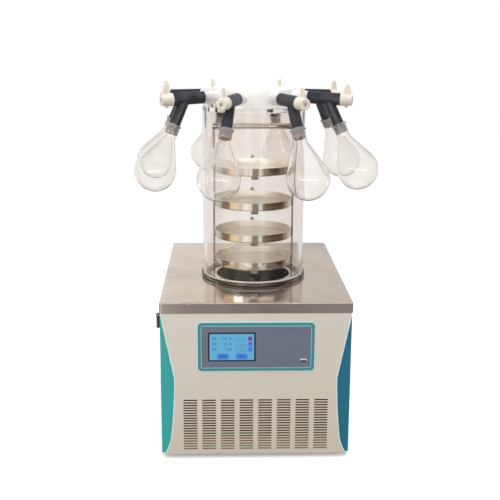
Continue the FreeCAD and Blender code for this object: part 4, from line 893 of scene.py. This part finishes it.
def levels_by(material, factor, *levels):
    """Gives each named socket one value where factor is 0 and another where it is 1."""
    for socket, value_at_0, value_at_1 in levels:
        level = add_node(material, "ShaderNodeMapRange")
        level.inputs["To Min"].default_value = value_at_0
        level.inputs["To Max"].default_value = value_at_1
        join(material, factor, level.inputs["Value"])
        join(material, level.outputs["Result"], shader_of(material).inputs[socket])


def dish_steel():
    steel = brushed_steel("dish_steel", tone(238, 233, 224), tone(226, 219, 208), 0.14,
                          (1, 1, 26), lines=0.002 * MM)
    tray_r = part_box("tray_1")[1].x
    reach = from_trap_axis(steel)[1]
    outside = step_at(steel, reach, tray_r - 0.8 * MM, tray_r - 0.4 * MM)
    levels_by(steel, outside, ("Roughness", 0.36, 0.06), ("Metallic", 0.5, 1.0))
    return steel


dress(dish_steel(), *["tray_%d" % number for number in range(1, 5)])


# Valve bodies
# Moulded black rubber tees, pushed onto the drum's nozzles.  Inside the flask's neck
# the last few millimetres of each branch are a brown bung.

plug_joint = next(joint for joint in frame["joints"] if joint["name"] == "plug_1_turn")
plug_axis = Vector(plug_joint["axis"])
BRANCH_FROM_END = 33.3 * MM
branch_root = Vector(plug_joint["pos_m"]) - plug_axis * BRANCH_FROM_END
BRANCH_LEAN = math.radians(25.3)
BUNG_FROM = 82.2 * MM
BUNG_FULL = 83.2 * MM


def along_branch(material):
    """How far a point lies down its branch, in metres, on any of the eight."""
    offset, reach = from_trap_axis(material, branch_root.z)
    root_reach = math.hypot(branch_root.x, branch_root.y - TRAP_AXIS_Y)
    outward = add_node(material, "ShaderNodeMath", operation="MULTIPLY_ADD")
    join(material, reach, outward.inputs[0])
    outward.inputs[1].default_value = math.sin(BRANCH_LEAN)
    outward.inputs[2].default_value = -root_reach * math.sin(BRANCH_LEAN)
    along = add_node(material, "ShaderNodeMath", operation="MULTIPLY_ADD")
    join(material, split(material, offset)["Z"], along.inputs[0])
    along.inputs[1].default_value = -math.cos(BRANCH_LEAN)
    join(material, outward.outputs["Value"], along.inputs[2])
    return along.outputs["Value"]


def valve_rubber():
    material = rubber("valve_rubber", tone(46, 46, 54), 0.36)
    shader = shader_of(material)
    black = shader.inputs["Base Color"].links[0].from_socket
    bung = step_at(material, along_branch(material), BUNG_FROM, BUNG_FULL)
    join(material, blend_colours(material, bung, black, tone(128, 96, 92)),
         shader.inputs["Base Color"])
    return material


dress(valve_rubber(), "valve_bodies")


# Valve plugs
# Cream moulded plastic, a little translucent, dull from handling and yellowed with age
# in patches.  Each turns in the barrel of its valve body.

def plug_cream():
    plastic = moulded_plastic("plug_cream", tone(232, 225, 214), 0.38, grain=500)
    shader = shader_of(plastic)
    shader.inputs["Subsurface Weight"].default_value = 0.15
    shader.inputs["Subsurface Radius"].default_value = (0.004, 0.003, 0.002)
    age = ramp(plastic, noise(plastic, 60),
               [(0.35, tone(234, 227, 216)), (0.8, tone(222, 210, 194))])
    join(plastic, age, shader.inputs["Base Color"])
    return plastic


dress(plug_cream(), *["valve_plug_%d" % number for number in range(1, 9)])


# Flasks
# Blown borosilicate glass.  The neck is ground inside where it grips the branch, and
# looks grey there.

GROUND_TO = 87 * MM
CLEAR_FROM = 91 * MM


def flask_glass():
    glass = clear("flask_glass", tone(250, 249, 248), 1.3)
    polished = step_at(glass, along_branch(glass), GROUND_TO, CLEAR_FROM)
    ground = add_node(glass, "ShaderNodeMath", operation="SUBTRACT")
    ground.inputs[0].default_value = 1.0
    join(glass, polished, ground.inputs[1])
    levels_by(glass, ground.outputs["Value"], ("Roughness", 0.0, 0.3),
              ("Transmission Weight", 0.97, 0.88))
    join(glass, blend_colours(glass, ground.outputs["Value"], tone(250, 249, 248),
                              tone(232, 230, 228)), shader_of(glass).inputs["Base Color"])
    return glass


dress(flask_glass(), *["flask_%d" % number for number in range(1, 9)])


# Bench
# A plain pale sheet that the dryer stands on, bright to the eye and a little beige
# through clear plastic and glass.  What stands on it gets less light back from it than
# it shows, as from a sheet lit from behind.

def by_path(nodes, links, bounce, when, otherwise):
    """One shader after a bounce of the given kind, and another before it."""
    met = nodes.new("ShaderNodeMath")
    met.operation = "GREATER_THAN"
    met.inputs[1].default_value = 0.5
    links.new(nodes.new("ShaderNodeLightPath").outputs[bounce], met.inputs[0])
    choice = nodes.new("ShaderNodeMixShader")
    links.new(met.outputs["Value"], choice.inputs[0])
    links.new(otherwise, choice.inputs[1])
    links.new(when, choice.inputs[2])
    return choice.outputs["Shader"]


def bench():
    half_side = 8
    sheet = bmesh.new()
    bmesh.ops.create_grid(sheet, x_segments=1, y_segments=1, size=half_side)
    data = bpy.data.meshes.new("bench")
    sheet.to_mesh(data)
    sheet.free()
    white = finish("bench_white", (0.9, 0.9, 0.9, 1), 0.8)
    shader = shader_of(white)
    shader.inputs["Specular IOR Level"].default_value = 0.0
    shader.inputs["Emission Color"].default_value = (1, 1, 1, 1)
    shader.inputs["Emission Strength"].default_value = 0.3
    nodes, links = white.node_tree.nodes, white.node_tree.links
    dim = add_node(white, "ShaderNodeBsdfDiffuse")
    dim.inputs["Color"].default_value = (0.42, 0.4, 0.37, 1)
    gone = add_node(white, "ShaderNodeBsdfTransparent")
    beige = add_node(white, "ShaderNodeEmission")
    beige.inputs["Color"].default_value = (0.955, 0.935, 0.905, 1)
    plain = by_path(nodes, links, "Transmission Depth", beige.outputs["Emission"],
                    shader.outputs["BSDF"])
    mirrored = by_path(nodes, links, "Glossy Depth", gone.outputs["BSDF"], plain)
    seen = by_path(nodes, links, "Diffuse Depth", dim.outputs["BSDF"], mirrored)
    links.new(seen, nodes["Material Output"].inputs["Surface"])
    data.materials.append(white)
    top = bpy.data.objects.new("bench", data)
    bpy.context.collection.objects.link(top)


bench()


# Room and lamps
# White all round to the eye.  What the polished parts mirror has lighter and darker
# sides, like a studio with windows, a warm wall, dark furniture and a dark ceiling.

MIRRORED_WALLS = ((-180, (0.95, 0.93, 0.9)), (-118, (0.8, 0.78, 0.76)), (-100, (0.14, 0.1, 0.07)),
                  (-78, (0.2, 0.14, 0.08)), (-71, (0.98, 0.78, 0.52)), (-52, (1.1, 0.92, 0.68)),
                  (-46, (1.02, 0.9, 0.74)), (-42, (0.74, 0.68, 0.58)), (-34, (0.76, 0.71, 0.64)),
                  (-30, (1.2, 1.17, 1.12)), (-20, (1.2, 1.17, 1.12)), (-6, (0.9, 0.86, 0.83)),
                  (-3, (0.3, 0.28, 0.26)), (12, (0.28, 0.27, 0.26)), (15, (0.86, 0.93, 0.94)),
                  (22, (0.86, 0.9, 0.9)), (27, (0.2, 0.15, 0.11)), (46, (0.16, 0.11, 0.07)),
                  (56, (0.08, 0.05, 0.03)), (92, (0.07, 0.05, 0.03)), (106, (0.3, 0.26, 0.23)),
                  (128, (0.7, 0.7, 0.7)), (180, (0.95, 0.93, 0.9)))
MIRRORED_WINDOWS = ((-180, (0.92, 0.89, 0.85)), (-172, (1.13, 1.08, 1.01)),
                    (-112, (0.62, 0.58, 0.54)), (-103, (0.36, 0.3, 0.26)), (-94, (1.1, 0.86, 0.58)),
                    (-60, (1.2, 1.04, 0.82)), (-52, (0.62, 0.56, 0.5)), (-44, (1.15, 1.12, 1.08)),
                    (-14, (1.1, 1.07, 1.04)), (-9, (0.5, 0.47, 0.45)), (12, (0.46, 0.44, 0.43)),
                    (19, (0.98, 1.02, 1.02)), (34, (0.9, 0.93, 0.93)), (41, (0.34, 0.28, 0.25)),
                    (92, (0.26, 0.24, 0.23)), (120, (0.6, 0.6, 0.6)), (172, (0.74, 0.72, 0.7)),
                    (180, (0.9, 0.87, 0.83)))


def room():
    world = bpy.data.worlds.new("studio")
    bpy.context.scene.world = world
    world.use_nodes = True
    world.cycles.sampling_method = "NONE"
    nodes, links = world.node_tree.nodes, world.node_tree.links
    nodes.clear()
    place = nodes.new("ShaderNodeTexCoord")
    parts = nodes.new("ShaderNodeSeparateXYZ")
    links.new(place.outputs["Generated"], parts.inputs["Vector"])

    def reckon(operation, first, *others):
        """A sum on a value and on numbers or other values."""
        sum_node = nodes.new("ShaderNodeMath")
        sum_node.operation = operation
        links.new(first, sum_node.inputs[0])
        for socket, other in zip(sum_node.inputs[1:], others):
            if isinstance(other, (int, float)):
                socket.default_value = other
            else:
                links.new(other, socket)
        return sum_node.outputs["Value"]

    front = reckon("MULTIPLY", parts.outputs["Y"], -1)
    turn = reckon("ARCTAN2", parts.outputs["X"], front)
    share = reckon("MULTIPLY_ADD", turn, 1 / (2 * math.pi), 0.5)

    def around(bands):
        """Colours at angles round the room, from 0 in front, up to 180 to each side."""
        strip = nodes.new("ShaderNodeValToRGB")
        links.new(share, strip.inputs["Fac"])
        elements = strip.color_ramp.elements
        while len(elements) < len(bands):
            elements.new(0.5)
        for element, (degrees, colour) in zip(elements, bands):
            element.position = degrees / 360 + 0.5
            element.color = (*colour, 1)
        return strip.outputs["Color"]

    def layered(below, above, start, end):
        """One colour below a height in the room and another above it."""
        rise = nodes.new("ShaderNodeMapRange")
        rise.inputs["From Min"].default_value = start
        rise.inputs["From Max"].default_value = end
        links.new(parts.outputs["Z"], rise.inputs["Value"])
        mix = nodes.new("ShaderNodeMix")
        mix.data_type = "RGBA"
        links.new(rise.outputs["Result"], mix.inputs["Factor"])
        for socket, colour in ((mix.inputs[6], below), (mix.inputs[7], above)):
            if isinstance(colour, tuple):
                socket.default_value = (*colour, 1)
            else:
                links.new(colour, socket)
        return mix.outputs[2]

    def background(colour):
        shade = nodes.new("ShaderNodeBackground")
        if isinstance(colour, tuple):
            shade.inputs["Color"].default_value = (*colour, 1)
        else:
            links.new(colour, shade.inputs["Color"])
        return shade.outputs["Background"]

    walls = layered((0.12, 0.1, 0.09), around(MIRRORED_WALLS), -0.5, -0.4)
    walls = layered(walls, around(MIRRORED_WINDOWS), -0.02, 0.04)
    mirrored = background(layered(walls, (0.16, 0.15, 0.15), 0.42, 0.5))
    plain = by_path(nodes, links, "Transmission Depth", background((0.9, 0.87, 0.84)),
                    background((1.0, 1.0, 1.0)))
    polished = by_path(nodes, links, "Glossy Depth", mirrored, plain)
    lit_by = by_path(nodes, links, "Diffuse Depth", background((0.8, 0.79, 0.77)), polished)
    output = nodes.new("ShaderNodeOutputWorld")
    links.new(lit_by, output.inputs["Surface"])


room()


def lamp(name, place, aim, size, power, mirrored=False, lights=True):
    """A rectangular lamp, hidden itself; mirrored lets polished parts show it."""
    light = bpy.data.lights.new(name, "AREA")
    light.shape = "RECTANGLE"
    light.size, light.size_y = size
    light.energy = power
    holder = bpy.data.objects.new(name, light)
    bpy.context.collection.objects.link(holder)
    holder.location = place
    holder.rotation_euler = (Vector(aim) - Vector(place)).to_track_quat("-Z", "Y").to_euler()
    holder.visible_glossy = mirrored
    holder.visible_diffuse = lights
    holder.visible_camera = False


lamp("window", (-2.2, -2.2, 2.0), (0, 0, 0.4), (1.6, 1.6), 24)
lamp("overhead", (0.2, 0.1, 3.0), (0, 0, 0.4), (2.6, 2.6), 50)
lamp("fill", (2.4, -2.0, 1.2), (0, 0, 0.4), (1.4, 1.4), 4)
lamp("strip", (0.0, -4.0, 0.84), (0, 0, 0.7), (12.0, 0.22), 160, mirrored=True, lights=False)


# Camera
# A short telephoto view from a little above the deck.

EYE = (-0.0750, -2.2606, 0.9859)
EYE_TURN = (1.74, 13.57, 0.30)


def camera():
    eye = bpy.data.cameras.new("camera")
    eye.sensor_width = 36
    eye.lens = 63.75
    holder = bpy.data.objects.new("camera", eye)
    bpy.context.collection.objects.link(holder)
    yaw, pitch, roll = (math.radians(angle) for angle in EYE_TURN)
    turn = (Matrix.Rotation(-yaw, 4, "Z") @ Matrix.Rotation(math.pi / 2 - pitch, 4, "X")
            @ Matrix.Rotation(roll, 4, "Z"))
    holder.matrix_world = Matrix.Translation(EYE) @ turn
    bpy.context.scene.camera = holder


camera()
scene = bpy.context.scene
scene.view_settings.view_transform = "Standard"
scene.cycles.max_bounces = 32
scene.cycles.transmission_bounces = 32
scene.cycles.transparent_max_bounces = 48
